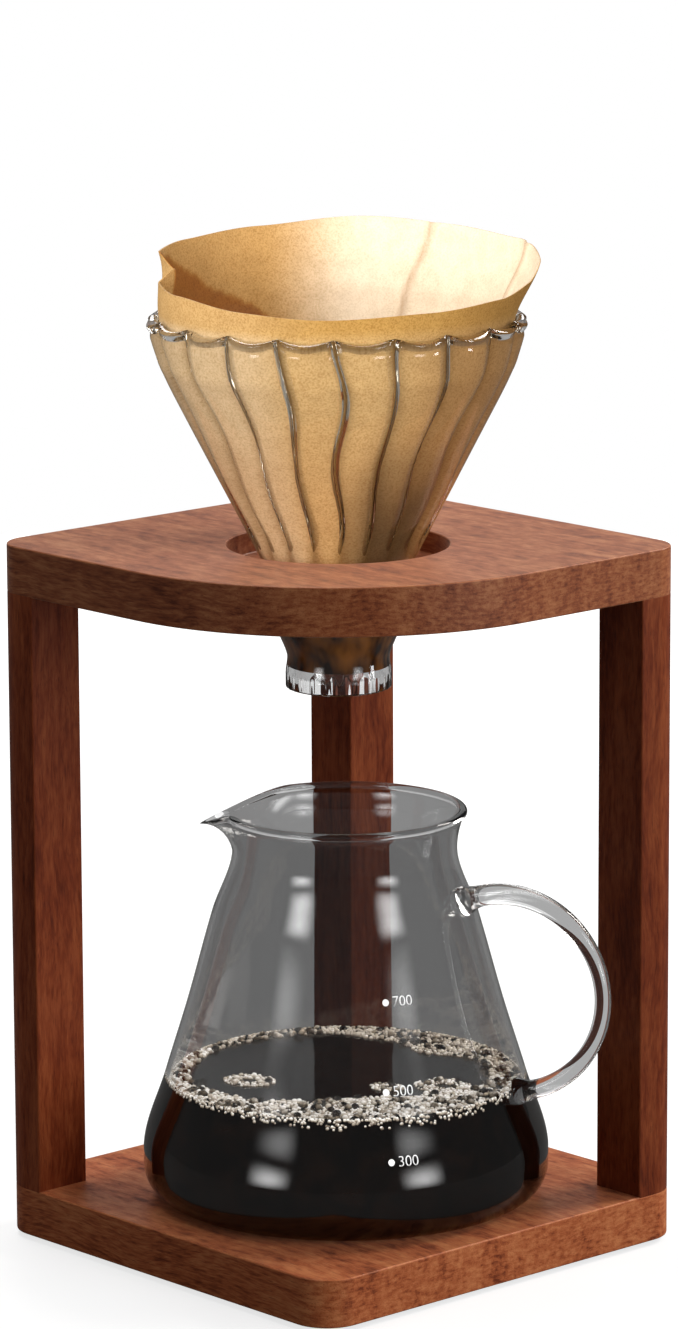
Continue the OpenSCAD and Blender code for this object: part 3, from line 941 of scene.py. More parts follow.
@dataclass
class GlassDripper:
    """Fluted glass cone on a shank, neck and ribbed collar.

    Sizes in millimetres, heights from the deck.
    """

    levels: Levels
    rim_radius: float = 58.3
    rim_height: float = 70.0
    rim_bead: float = 1.6
    brow_radius: float = 54.7
    brow_height: float = 56.0
    brow_ease: float = 0.35
    waist_radius: float = 23.6
    waist_height: float = -4.5
    seat_height: float = -7.0
    seat_radius: float = 21.0
    soffit_height: float = -15.0
    soffit_radius: float = 19.4
    shank_middle: float = -20.0
    shank_height: float = -26.0
    shank_radius: float = 19.1
    neck_height: float = -33.5
    neck_radius: float = 15.7
    throat_blend: float = 1.0
    throat_rows: int = 8
    collar_height: float = -39.5
    collar_radius: float = 16.3
    outlet_height: float = -44.5
    outlet_edge: float = 0.9
    wall: float = 2.3
    flutes: int = 20
    flute_depth: float = 1.6
    flute_sway: float = 1.5
    flute_waves: float = 640.0
    flute_turn: float = 3.5
    groove_depth: float = 1.05
    groove_width: float = 1.0
    channel_depth: float = 1.0
    channel_width: float = 1.5
    scallop: float = 1.3
    pinch: float = 0.5
    pinch_drop: float = 4.0
    ribs: int = 26
    rib_depth: float = 0.22
    film_lap: float = 0.06
    film_thick: float = 0.35
    steps: int = 480

    @property
    def cone_slope(self) -> float:
        """How much the cone widens for each millimetre of height."""
        return (self.brow_radius - self.waist_radius) / (self.brow_height - self.waist_height)

    @property
    def brow_slope(self) -> float:
        """How much the brim above the brow widens for each millimetre of height."""
        return (self.rim_radius - self.brow_radius) / (self.rim_height - self.brow_height)

    @property
    def rim_foot(self) -> float:
        """Height at which the rim starts to round over."""
        return self.rim_height - self.rim_bead

    def over_flutes(self, z: float) -> float:
        """Radius over the flutes at a height."""
        slope = self.brow_slope if z > self.brow_height else self.cone_slope
        return self.brow_radius + slope * (z - self.brow_height)

    def bore(self, z: float) -> float:
        """Radius of the cone's inside at a height."""
        return self.over_flutes(z) - self.flute_depth - self.wall

    def throat(self, start: Spot, end: Spot) -> list[Spot]:
        """Outline between the shank and the neck: nearly straight, eased at both ends.

        Args:
            start: radius and height that it runs from.
            end: radius and height that it runs to.

        Returns:
            The spots after the start, the end among them.
        """
        (r0, z0), (r1, z1) = start, end
        spots = []
        for i in range(1, self.throat_rows + 1):
            share = i / self.throat_rows
            eased = 0.5 * (share + ease(0.0, 1.0, share))
            spots.append((r0 + (r1 - r0) * eased, z0 + (z1 - z0) * share))
        return spots

    def shank_bore(self) -> list[Spot]:
        """Outline of the inside from the soffit down to the neck."""
        shank = (self.shank_radius - self.wall, self.shank_height + self.throat_blend)
        neck = (self.neck_radius - self.wall, self.neck_height)
        return [(self.soffit_radius - self.wall, self.soffit_height), shank] + self.throat(shank, neck)

    def outside(self) -> list[Spot]:
        """Outline of the outside from the outlet up to the rim."""
        foot, collar, edge = self.outlet_height, self.collar_height, self.outlet_edge
        wide, neck = self.collar_radius, self.neck_radius
        spots = [(wide - edge, foot), (wide - 0.25, foot + 0.25), (wide, foot + edge),
                 (wide, collar - 0.6), (wide - 0.12, collar + 0.6), (neck + 0.22, collar + 2.2),
                 (neck, collar + 4.0), (neck, self.neck_height - self.throat_blend)]
        spots += self.throat(spots[-1], (self.shank_radius, self.shank_height + self.throat_blend))
        spots += [(0.5 * (self.shank_radius + self.soffit_radius), self.shank_middle),
                  (self.soffit_radius, self.soffit_height),
                  (self.seat_radius - 0.4, self.seat_height - 2.0), (self.seat_radius, self.seat_height),
                  (self.seat_radius + 0.9, self.seat_height + 1.2)]
        under = self.rim_height - 6.4
        heights = evenly(self.waist_height, under, 40)[:-1] + [under + 0.4 * i for i in range(13)]
        for z in heights:
            soft = self.brow_ease * bell(z - self.brow_height, 5.0)
            soft += self.pinch * bell(z - self.rim_height + self.pinch_drop, 0.9)
            spots.append((self.over_flutes(z) - soft, z))
        return spots

    def lip(self) -> list[Spot]:
        """Outline of the rounded rim from the outside to the inside."""
        outer, inner = self.over_flutes(self.rim_foot), self.bore(self.rim_foot)
        middle, half = (outer + inner) / 2, (outer - inner) / 2
        arc = [math.radians(a) for a in range(15, 180, 15)]
        return [(middle + half * math.cos(a), self.rim_foot + self.rim_bead * math.sin(a)) for a in arc]

    def inside(self) -> list[Spot]:
        """Outline of the inside from the rim down to the outlet."""
        neck = self.neck_radius - self.wall
        cone = [(self.bore(z), z) for z in evenly(self.rim_foot, self.waist_height, 30)]
        outlet = [(neck, self.outlet_height + 0.7), (neck + 0.5, self.outlet_height),
                  (self.collar_radius - self.outlet_edge, self.outlet_height)]
        return cone + self.shank_bore() + outlet

    def across_flute(self, spot: Vector) -> float:
        """Where a spot lies across its flute.

        Returns:
            0 in the valley, -1 or 1 on a crest, crowded towards the valley.
        """
        pitch = 360.0 / self.flutes
        bearing = bearing_of(spot)
        across = (bearing - pitch * round(bearing / pitch)) / (pitch / 2)
        return math.copysign(abs(across) ** 1.7, across)

    def from_valley(self, spot: Vector) -> float:
        """Distance of a spot from the valley of its flute."""
        return math.radians(abs(self.across_flute(spot)) * 180.0 / self.flutes) * spot.xy.length

    def on_cone(self, z: float) -> bool:
        """Whether a height is on the fluted cone."""
        return z > self.waist_height - 0.1

    def groove_shade(self, spot: Vector) -> float:
        """Where painted shade goes on the glass, from 0 to 1: deep in a valley or near the rim's crown."""
        if not self.on_cone(spot.z):
            return 0.0
        crown = ease(self.rim_height - 2.4, self.rim_height - 1.2, spot.z)
        return max(crown, bell(self.from_valley(spot), self.channel_width))

    def sway(self, bearing: float, up: float) -> float:
        """How far a flute wanders to the side, in degrees, at a share of the cone's height."""
        angle = math.radians(bearing)
        phase = 55.0 * math.sin(2.0 * angle) + 40.0 * math.sin(5.0 * angle + 1.0)
        size = self.flute_sway * (1.0 + 0.35 * math.sin(7.0 * angle))
        return size * math.sin(math.radians(self.flute_waves * up + phase)) * ease(0.0, 0.2, up)

    def flute(self, spot: Vector) -> Vector:
        """Presses the flutes, the channels behind them and the collar's ribs into the turned glass."""
        radius, z = spot.xy.length, spot.z
        bearing = bearing_of(spot)
        if self.on_cone(z):
            pitch = 360.0 / self.flutes
            across = self.across_flute(spot)
            away = self.from_valley(spot)
            bearing = pitch * round(bearing / pitch) + across * pitch / 2
            up = (z - self.waist_height) / (self.rim_height - self.waist_height)
            outer = min(1.0, max(0.0, (radius - self.bore(z)) / (self.flute_depth + self.wall)))
            wave = math.sin(math.radians(90.0 * abs(across)))
            start = ease(0.03, 0.2, up)
            pressed = ease(0.0, 0.14, up) * self.flute_depth * (radius / self.rim_radius) * (1.0 - wave)
            pressed += start * self.groove_depth * bell(away, self.groove_width)
            opened = start * self.channel_depth * bell(away, self.channel_width)
            radius += (1.0 - outer) * opened - outer * pressed
            z -= self.scallop * ease(self.rim_height - 5.0, self.rim_height, z) * (wave - 0.4)
            bearing += self.sway(bearing, up)
        elif z < self.collar_height + 0.2 and radius > self.collar_radius - 0.5:
            radius -= self.rib_depth * (0.5 + 0.5 * math.cos(math.radians(bearing * self.ribs)))
        return Vector((*ring(radius, bearing + self.flute_turn), z))

    def film(self) -> Piece:
        """Models the film of coffee that wets the shank and the neck inside."""
        head = (self.soffit_radius - self.wall + 0.9, self.soffit_height + 4.0)
        foot = (self.neck_radius - self.wall, self.collar_height + 1.5)
        spots = [head] + self.shank_bore() + [foot]
        outer = [(r + self.film_lap, z) for r, z in spots]
        inner = [(r - self.film_thick, z) for r, z in reversed(spots)]
        return lathe("dripper_coffee_film", outer + inner + outer[:1], 96)

    def build(self) -> None:
        """Builds and dresses the dripper."""
        piece = lathe("dripper_glass", self.outside() + self.lip() + self.inside(), self.steps)
        # Paints the mask of painted shade: dark lines in the valleys and along the rim's crown.
        paint(piece, "groove_shade", self.groove_shade)
        reshape(piece, lambda spot: self.levels.over_deck(self.flute(spot)))
        smooth(piece, 60.0)
        fit_out(piece, "dripper", ["dripper"],
                BlownGlass("clear fluted glass", depth_tint=(0.55, 0.56, 0.55), density=22.0, ripple=0.03,
                           groove_shade_tint=(0.60, 0.53, 0.42)))
        film = self.film()
        reshape(film, self.levels.over_deck)
        smooth(film, 50.0)
        fit_out(film, "dripper", [], CoffeeFilm("thin coffee"))


# The filter

class PaperTone(NamedTuple):
    """What is painted on a spot of the paper, each from 0 to 1."""

    # wet also carries painted shade, pale carries painted light, and crease carries painted shade.
    wet: float
    pale: float
    crease: float
    fibre: float
    steeped: float


@dataclass
class PaperFilter:
    """Folded kraft paper cone with its bed of wet grounds.

    Sizes in millimetres, heights from the deck, bearings in degrees, the flat cut in metres; the flat cut
    and its area are not used.
    """

    levels: Levels
    dripper: GlassDripper
    thick: float = 0.5
    lap: float = 0.12
    side_height: float = 86.0
    edge_rows: tuple[Spot, ...] = (
        (-180.0, 84.0), (-171.0, 81.2), (-150.0, 79.6), (-120.0, 77.4), (-90.0, 76.6), (-60.0, 77.2),
        (-30.0, 79.2), (-12.0, 81.5), (3.0, 86.0), (30.0, 89.5), (60.0, 91.0), (90.0, 92.0),
        (120.0, 90.6), (150.0, 88.6), (171.0, 88.0), (180.0, 84.0),
    )
    tip_radius: float = 2.0
    tip_height: float = -38.1
    lean: float = 3.2
    creases: tuple[Spot, ...] = ((66.0, 0.16), (23.0, -0.05))
    crease_depth: float = 0.9
    notch_side: float = 180.0
    notch_depth: float = 5.0
    notch_half_angle: float = 8.0
    # Sides of painted light and painted shade on the outside, then where it is steeped and where its seam
    # is.
    lit_outside_side: float = -160.0
    shaded_outside_side: float = -12.0
    steeped_side: float = -52.0
    seam_side: float = -176.0
    # The side of the inside where painted light is laid.
    lit_inside_side: float = 15.0
    grounds_height: float = 18.0
    grounds_gap: float = 0.9
    clods: tuple[Spot, ...] = ((0.8, 0.22), (0.4, 0.6), (0.45, 1.1), (0.4, 1.7))
    cut: Spot = (0.281, 0.146)
    cut_area: float = 0.0275
    steps: int = 288

    def edge(self, bearing: float) -> float:
        """Height of the paper's edge at a bearing."""
        return table_value(self.edge_rows, bearing) + 0.35 * math.sin(math.radians(5.0 * bearing + 40.0))

    def radius(self, z: float) -> float:
        """Outer radius of the paper at a height."""
        return self.dripper.bore(z) + self.lap - 0.6 * ease(67.0, 69.5, z)

    def outline(self) -> list[Spot]:
        """Outline of the paper: up its outside and down its inside."""
        brow, tip = self.dripper.brow_height, self.tip_height
        heights = evenly(tip, brow, 34) + evenly(brow, self.side_height, 20)[1:]
        outer = [(self.radius(z), z) for z in heights]
        inner = [(self.radius(z) - self.thick, z) for z in reversed(heights)]
        floor = tip + self.thick
        return [(0.0, tip)] + outer + inner[:-1] + [(self.tip_radius - 0.6, floor), (0.0, floor)]

    def fold_line(self, bearing: float, z: float) -> float:
        """How close a spot is to one of the two creases inside the back of the paper."""
        near = 0.0
        for side, slant in self.creases:
            off = turn_between(bearing, side + slant * (90.0 - z))
            near = max(near, bell(off, 1.3) * ease(10.0, 50.0, z))
        return near

    def crumple(self, spot: Vector) -> Vector:
        """Folds and crumples the turned paper."""
        radius, z = spot.xy.length, spot.z
        if radius < 1e-9:
            return spot
        bearing = bearing_of(spot)
        brow = self.dripper.brow_height
        if z > brow:
            inner = self.radius(z) - radius
            z = brow + (z - brow) * (self.edge(bearing) - brow) / (self.side_height - brow)
            radius = self.radius(z) - inner
        free = ease(69.0, 86.0, z)
        soak = ease(-30.0, 10.0, z) * (1.0 - ease(20.0, 60.0, z))
        wrinkle = abs(drift_round(1.6, bearing, 0.045 * z))
        crinkle = abs(drift_round(5.5, bearing, 0.12 * z, (9.0, 0.0)))
        radius += soak * (0.25 * wrinkle + 0.2 * crinkle)
        radius += 0.8 * free * drift_round(1.3, bearing, 0.03 * z, (0.0, 4.0))
        radius -= self.crease_depth * self.fold_line(bearing, z) * ease(40.0, 70.0, z)
        pleat = max(0.0, 1.0 - turn_between(bearing, self.notch_side) / self.notch_half_angle)
        radius -= self.notch_depth * pleat * ease(50.0, 84.0, z)
        x, y = ring(radius, bearing)
        return Vector((x + self.lean * free, y, z))

    def tone(self, flat: Vector, spot: Vector) -> PaperTone:
        """What is painted on a spot of the paper.

        Args:
            flat: the spot on the turned sheet, before it is folded.
            spot: the same spot on the folded sheet.

        Returns:
            The tone of the outer or the inner face there.
        """
        bearing, z = bearing_of(flat), spot.z
        patch = drift_round(2.2, bearing, 0.05 * z)
        wet = 0.45 * (1.0 - ease(18.0, 50.0, z + 8.0 * patch))
        if flat.xy.length > self.radius(flat.z) - 0.3 * self.thick:
            return self.outer_tone(bearing, z, wet, z + 6.0 * patch)
        return self.inner_tone(bearing, z, wet)

    def outer_tone(self, bearing: float, z: float, wet: float, soaked_to: float) -> PaperTone:
        """The outer face: painted light on the left and behind the glass, painted shade on the right,
        steeped low down.

        Args:
            bearing: where the spot lies round the cone.
            z: its height.
            wet: how wet the paper is there.
            soaked_to: its height, shifted by the ragged edge of the steeped patch.

        Returns:
            The tone of that spot.
        """
        behind = ease(74.0, 68.0, z)
        # Painted shade: the right side gets a warm dark wet tone, on the side away from the light.
        right_shade = 0.45 * facing(bearing, self.shaded_outside_side, 65.0, 25.0) * max(0.6, behind)
        dark = facing(bearing, self.steeped_side, 42.0, 10.0) * ease(46.0, 10.0, soaked_to)
        seam = facing(bearing, self.seam_side, 22.0, 8.0) * ease(30.0, 4.0, soaked_to)
        # Painted light: paler on the left, where the light falls, and paler behind the glass, making up for
        # the light that the glass takes.
        dry = 0.45 * facing(bearing, self.lit_outside_side, 75.0, 35.0)
        pale = max(0.18 * behind, dry * max(0.35, behind))
        return PaperTone(
            wet=max(0.4 * wet, right_shade, 0.14 * (1.0 - behind)), pale=pale,
            crease=0.4 * self.fold_line(bearing, z), fibre=1.0 - 0.5 * pale,
            steeped=max(0.92 * dark, 0.7 * seam),
        )

    def inner_tone(self, bearing: float, z: float, wet: float) -> PaperTone:
        """The inner face: painted light on the right, painted shade elsewhere, and darker below a slanting
        line at the back left.
        """
        # Painted light makes the inside paler on its right, where the light falls; painted shade darkens the
        # rest a little through the wet value.
        pale = (0.12 + 0.88 * facing(bearing, self.lit_inside_side, 105.0, 70.0)) * ease(20.0, 50.0, z)
        # Darker below a slanting line at the back left.
        slant_height = 55.0
        if 90.0 < bearing <= 180.0:
            slant_height = 64.0 + 0.46 * (bearing - 118.0) + 1.5 * drift_round(9.0, bearing, 0.2 * z)
        dark_below_slant = (1.0 - ease(slant_height - 0.8, slant_height + 0.8, z)) * ease(95.0, 112.0, abs(bearing))
        return PaperTone(
            wet=max(wet, dark_below_slant, 0.22 * (1.0 - pale)), pale=pale * (1.0 - dark_below_slant),
            crease=0.55 * self.fold_line(bearing, z), fibre=1.0 - 0.6 * pale, steeped=0.0,
        )

    def build(self) -> None:
        """Builds and dresses the paper and the grounds."""
        sheet = lathe("filter_paper_cone", self.outline(), self.steps)
        flat = [spot.co.copy() for spot in sheet.data.vertices]
        reshape(sheet, self.crumple)
        tones = [self.tone(place, spot.co) for place, spot in zip(flat, sheet.data.vertices)]
        for name, values in zip(PaperTone._fields, zip(*tones)):
            write_layer(sheet, name, values)
        reshape(sheet, self.levels.over_deck)
        smooth(sheet, 50.0)
        fit_out(sheet, "filter", ["filter_paper"], KraftPaper("kraft paper"))
        bed = self.grounds()
        reshape(bed, self.levels.over_deck)
        smooth(bed, 60.0)
        fit_out(bed, "filter", ["coffee_grounds"],
                Speckled("wet coffee grounds", (0.012, 0.006, 0.0035), (0.085, 0.045, 0.026),
                         0.7, 0.55, 0.9, gloss=0.3))

    def grounds(self) -> Piece:
        """Models the wet bed, sunk in the middle and built up at the paper."""
        inset = self.thick + self.grounds_gap
        low, top = self.tip_height + 5.0, self.grounds_height
        wall = [(self.radius(z) - inset, z) for z in evenly(low, top, 10)]
        across = wall[-1][0]
        crest = [(across * (1.0 - i / 60), top) for i in range(1, 61)]
        piece = lathe("grounds_bed", [(0.0, low)] + wall + crest, 240)

        def heap(spot: Vector) -> Vector:
            """Sinks and roughens the top of the bed."""
            if spot.z < top - 0.01:
                return spot
            r = spot.xy.length
            dip = 5.0 * (1.0 - ease(0.0, 0.8 * across, r)) - 3.0 * ease(0.78 * across, across, r)
            rough = sum(size * drift(pitch * spot.x, pitch * spot.y, 9.0 * pitch)
                        for size, pitch in self.clods)
            return Vector((spot.x, spot.y, top - 2.0 - dip + rough))

        reshape(piece, heap)
        return piece


# The carafe

class VolumeMark(NamedTuple):
    """A printed number, and the height and bearing of its dot on the glass."""

    number: str
    height: float
    bearing: float


@dataclass
class Carafe:
    """Blown glass carafe with a rod handle, volume marks, coffee and foam. Sizes in millimetres."""

    levels: Levels
    middle: Spot = (2.0, -8.0)
    handle_turn: float = 18.0
    height: float = 121.5
    stations: tuple[Spot, ...] = (
        (14.0, 62.5), (38.0, 55.7), (61.0, 48.6), (89.0, 40.8), (109.0, 34.4), (119.1, 36.4),
    )
    heel: float = 10.0
    mouth_radius: float = 37.2
    bead: float = 2.4
    bead_half_width: float = 1.45
    bead_inset: float = 0.35
    wall: float = 1.6
    floor: float = 1.4
    floor_rise: float = 0.5
    lip_side: float = 180.0
    lip_reach: float = 9.5
    lip_droop: float = 8.0
    lip_half_angle: float = 42.0
    handle_arc: float = 30.8
    handle_reach: float = 52.4
    handle_height: float = 67.6
    head_turn: float = 116.8
    foot_turn: float = -83.3
    weld_turn: float = 1.6
    rod_radius: float = 2.8
    volumes: tuple[VolumeMark, ...] = (
        VolumeMark("300", 25.8, -74.3), VolumeMark("500", 45.7, -74.3), VolumeMark("700", 71.4, -72.1),
    )
    dot_radius: float = 1.0
    number_size: float = 4.4
    print_thick: float = 0.12
    print_gap: float = 0.02
    coffee_level: float = 38.0
    coffee_sag: float = 1.0
    coffee_lap: float = 0.06
    steps: int = 192

    def radius(self, z: float) -> float:
        """Outer radius at a height between the belly and the mouth, on a smooth curve."""
        rows = self.stations

        def rate(a: int, b: int) -> float:
            """Slope between two stations."""
            return (rows[b][1] - rows[a][1]) / (rows[b][0] - rows[a][0])

        slopes = [0.0, rate(0, 2), rate(1, 3), rate(2, 4), 0.0, 2.0 * rate(4, 5)]
        k = max(0, min(4, sum(z >= row[0] for row in rows) - 1))
        (z0, r0), (z1, r1) = rows[k], rows[k + 1]
        span = z1 - z0
        t = (z - z0) / span
        u = 1.0 - t
        return (r0 * u * u * (1.0 + 2.0 * t) + r1 * t * t * (1.0 + 2.0 * u)
                + span * t * u * (slopes[k] * u - slopes[k + 1] * t))

    def heel_arc(self, inset: float, floor: float) -> list[Spot]:
        """Outline of the rounded heel, inside or outside."""
        heel = self.heel - inset
        wide = self.stations[0][1] - inset
        arc = [math.radians(a) for a in range(0, 91, 9)]
        return [(wide - heel + heel * math.sin(a), floor + heel * (1.0 - math.cos(a))) for a in arc]

    def glass_outline(self) -> list[Spot]:
        """Outline of the glass: out under the floor, up the outside, over the bead, down the inside."""
        belly, mouth = self.stations[0][0], self.stations[-1][0]
        rise = evenly(belly, mouth, 60)
        foot = self.heel_arc(0.0, 0.0)
        outer = [(0.0, 1.2), (0.8 * foot[0][0], 1.0), (foot[0][0] - 3.0, 0.25)] + foot
        outer += [(self.radius(z), z) for z in rise[1:]]
        across, half = self.mouth_radius - self.wall / 2 - self.bead_inset, self.bead / 2
        arc = [math.radians(a) for a in range(-45, 226, 18)]
        bead = [(across + self.bead_half_width * math.cos(a), mouth + half + half * math.sin(a))
                for a in arc]
        inner = [(self.radius(z) - self.wall, z) for z in reversed(rise)]
        inner += list(reversed(self.heel_arc(self.wall, self.floor)))
        inner += [(0.6 * inner[-1][0], self.floor + 0.3), (0.0, self.floor + self.floor_rise)]
        return outer + bead + inner

    def pour_lip(self, spot: Vector) -> Vector:
        """Draws the mouth out and down into the pouring lip."""
        throat = self.stations[4][0]
        rise = max(0.0, (spot.z - throat) / (self.height - throat))
        off = turn_between(bearing_of(spot), self.lip_side)
        radius = spot.xy.length
        if radius < 1e-9 or off >= self.lip_half_angle:
            return spot
        share = (1.0 + math.cos(math.radians(180.0 * off / self.lip_half_angle))) / 2
        grown = (radius + self.lip_reach * share * rise) / radius
        return Vector((spot.x * grown, spot.y * grown, spot.z - self.lip_droop * share * rise * rise))

    def place(self, spot: Vector) -> Vector:
        """Brings a spot from the carafe's own frame, its handle along X, to the stand's."""
        angle = math.radians(-self.handle_turn)
        x = spot.x * math.cos(angle) - spot.y * math.sin(angle) + self.middle[0]
        y = spot.x * math.sin(angle) + spot.y * math.cos(angle) + self.middle[1]
        return Vector((x * MM, y * MM, spot.z * MM + self.levels.shelf))

    def body(self) -> Piece:
        """Models the glass body."""
        piece = lathe("carafe_glass", self.glass_outline(), self.steps)
        reshape(piece, lambda spot: self.place(self.pour_lip(spot)))
        smooth(piece, 60.0)
        return piece

    def handle(self) -> Piece:
        """Models the rod handle: a circle swept round the handle's arc, flared at its two welds."""
        centre = Vector((self.handle_reach, 0.0, self.handle_height))
        head, foot = self.head_turn + self.weld_turn, self.foot_turn - self.weld_turn
        turn = math.radians(foot)
        put_down()
        bpy.ops.mesh.primitive_circle_add(vertices=28, radius=self.rod_radius, location=ORIGIN)
        piece = christen("carafe_handle_rod")
        edit_all()
        bpy.ops.transform.translate(value=(centre.x + self.handle_arc, 0.0, centre.z))
        bpy.ops.mesh.spin(steps=110, angle=math.radians(head - foot), center=centre, axis=(0.0, 1.0, 0.0))
        bpy.ops.mesh.select_all(action="SELECT")
        bpy.ops.mesh.remove_doubles(threshold=0.002)
        bpy.ops.mesh.select_all(action="DESELECT")
        bpy.ops.mesh.select_mode(type="EDGE")
        bpy.ops.mesh.select_non_manifold()
        bpy.ops.mesh.fill()
        close_up()

        def sweep(spot: Vector) -> Vector:
            """Turns the swept rod to its start, thickens it at the welds and thins it at the right."""
            x, z = spot.x - centre.x, spot.z - centre.z
            at = math.degrees(math.atan2(z, x)) % 360.0 + foot
            x, z = x * math.cos(turn) - z * math.sin(turn), x * math.sin(turn) + z * math.cos(turn)
            reach = math.hypot(x, z)
            thick = 0.90 + 0.26 * ease(10.0, 100.0, at) + 0.12 * ease(-20.0, -70.0, at)
            thick += 0.5 * bell(at - self.head_turn, 6.0) + 0.5 * bell(at - self.foot_turn, 6.0)
            grown = (self.handle_arc + (reach - self.handle_arc) * thick) / reach
            return Vector((x * grown + centre.x, spot.y * thick, z * grown + centre.z))

        reshape(piece, sweep)
        reshape(piece, self.place)
        smooth(piece, 60.0)
        return piece

    def dot(self, name: str) -> Piece:
        """Models a mark's dot, flat at the origin."""
        put_down()
        bpy.ops.mesh.primitive_circle_add(vertices=20, radius=self.dot_radius, fill_type="NGON",
                                          location=ORIGIN)
        return christen(name)

    def number(self, name: str, text: str) -> Piece:
        """Models a mark's number, flat and to the right of the origin."""
        put_down()
        bpy.ops.object.text_add(location=ORIGIN)
        label = bpy.context.object.data
        label.body = text
        label.size = self.number_size
        label.align_y = "CENTER"
        label.offset_x = 2.0 * self.dot_radius
        label.offset = -0.04
        bpy.ops.object.convert(target="MESH")
        return christen(name)

    def print_on(self, part: Piece, mark: VolumeMark) -> None:
        """Thickens a flat mark and wraps it on the wall.

        Args:
            part: the dot or the number.
            mark: where it goes.
        """
        take_up(part)
        edit_all()
        bpy.ops.mesh.extrude_region_move(TRANSFORM_OT_translate={"value": (0.0, 0.0, self.print_thick)})
        close_up()

        def wrap(spot: Vector) -> Vector:
            """Wraps a spot of the flat mark on the wall."""
            up = mark.height + spot.y
            radius = self.radius(up) + self.print_gap + spot.z
            angle = math.radians(mark.bearing + self.handle_turn) + spot.x / self.radius(mark.height)
            return self.place(Vector((radius * math.cos(angle), radius * math.sin(angle), up)))

        reshape(part, wrap)

    def marks(self) -> Piece:
        """Models the printed dots and numbers that mark the volume on the glass."""
        parts = []
        for mark in self.volumes:
            for part in (self.dot(f"dot_{mark.number}"), self.number(f"number_{mark.number}", mark.number)):
                self.print_on(part, mark)
                parts.append(part)
        return join("carafe_volume_marks", parts)

    def coffee(self) -> Piece:
        """Models the coffee, which wets the glass and climbs it a little."""
        lap, level, sunk = self.coffee_lap, self.coffee_level, self.coffee_level - self.coffee_sag
        bed = self.floor + self.floor_rise
        wide = self.radius(level) - self.wall + lap
        outline = [(0.0, bed - lap), (20.0, self.floor + 0.45 - lap)]
        outline += self.heel_arc(self.wall - lap, self.floor - lap)
        rise = evenly(self.stations[0][0], level, 14)
        outline += [(self.radius(z) - self.wall + lap, z) for z in rise[1:]]
        outline += [(wide - 0.5, level - 0.45), (wide - 1.4, level - 0.8), (wide - 3.0, sunk),
                    (0.5 * wide, sunk), (0.0, sunk)]
        piece = lathe("coffee_pool", outline, 128)
        reshape(piece, self.place)
        smooth(piece, 50.0)
        return piece

    def build(self) -> None:
        """Builds and dresses the carafe and what is in it."""
        # Painted shade: the clear glass is given a grey tint, standing in for the dim surroundings seen
        # through it.
        fit_out(self.body(), "carafe", ["carafe"],
                BlownGlass("clear blown glass", tint=(0.575, 0.575, 0.575), density=15.0, ripple_size=14.0))
        fit_out(self.handle(), "carafe", ["carafe_handle"],
                BlownGlass("clear rod glass", tint=(0.96, 0.96, 0.96), density=14.0))
        fit_out(self.coffee(), "carafe", ["coffee"], BlackCoffee("black coffee"))
        foam, clear = FoamRing(self).build()
        fit_out(foam, "carafe", [], Froth("coffee foam"))
        fit_out(clear, "carafe", [], BubbleFilm("bubble film"))
        fit_out(self.marks(), "carafe", [],
                Speckled("white print", (0.62, 0.62, 0.62), (0.76, 0.76, 0.76), 0.4, 0.45, 0.1))


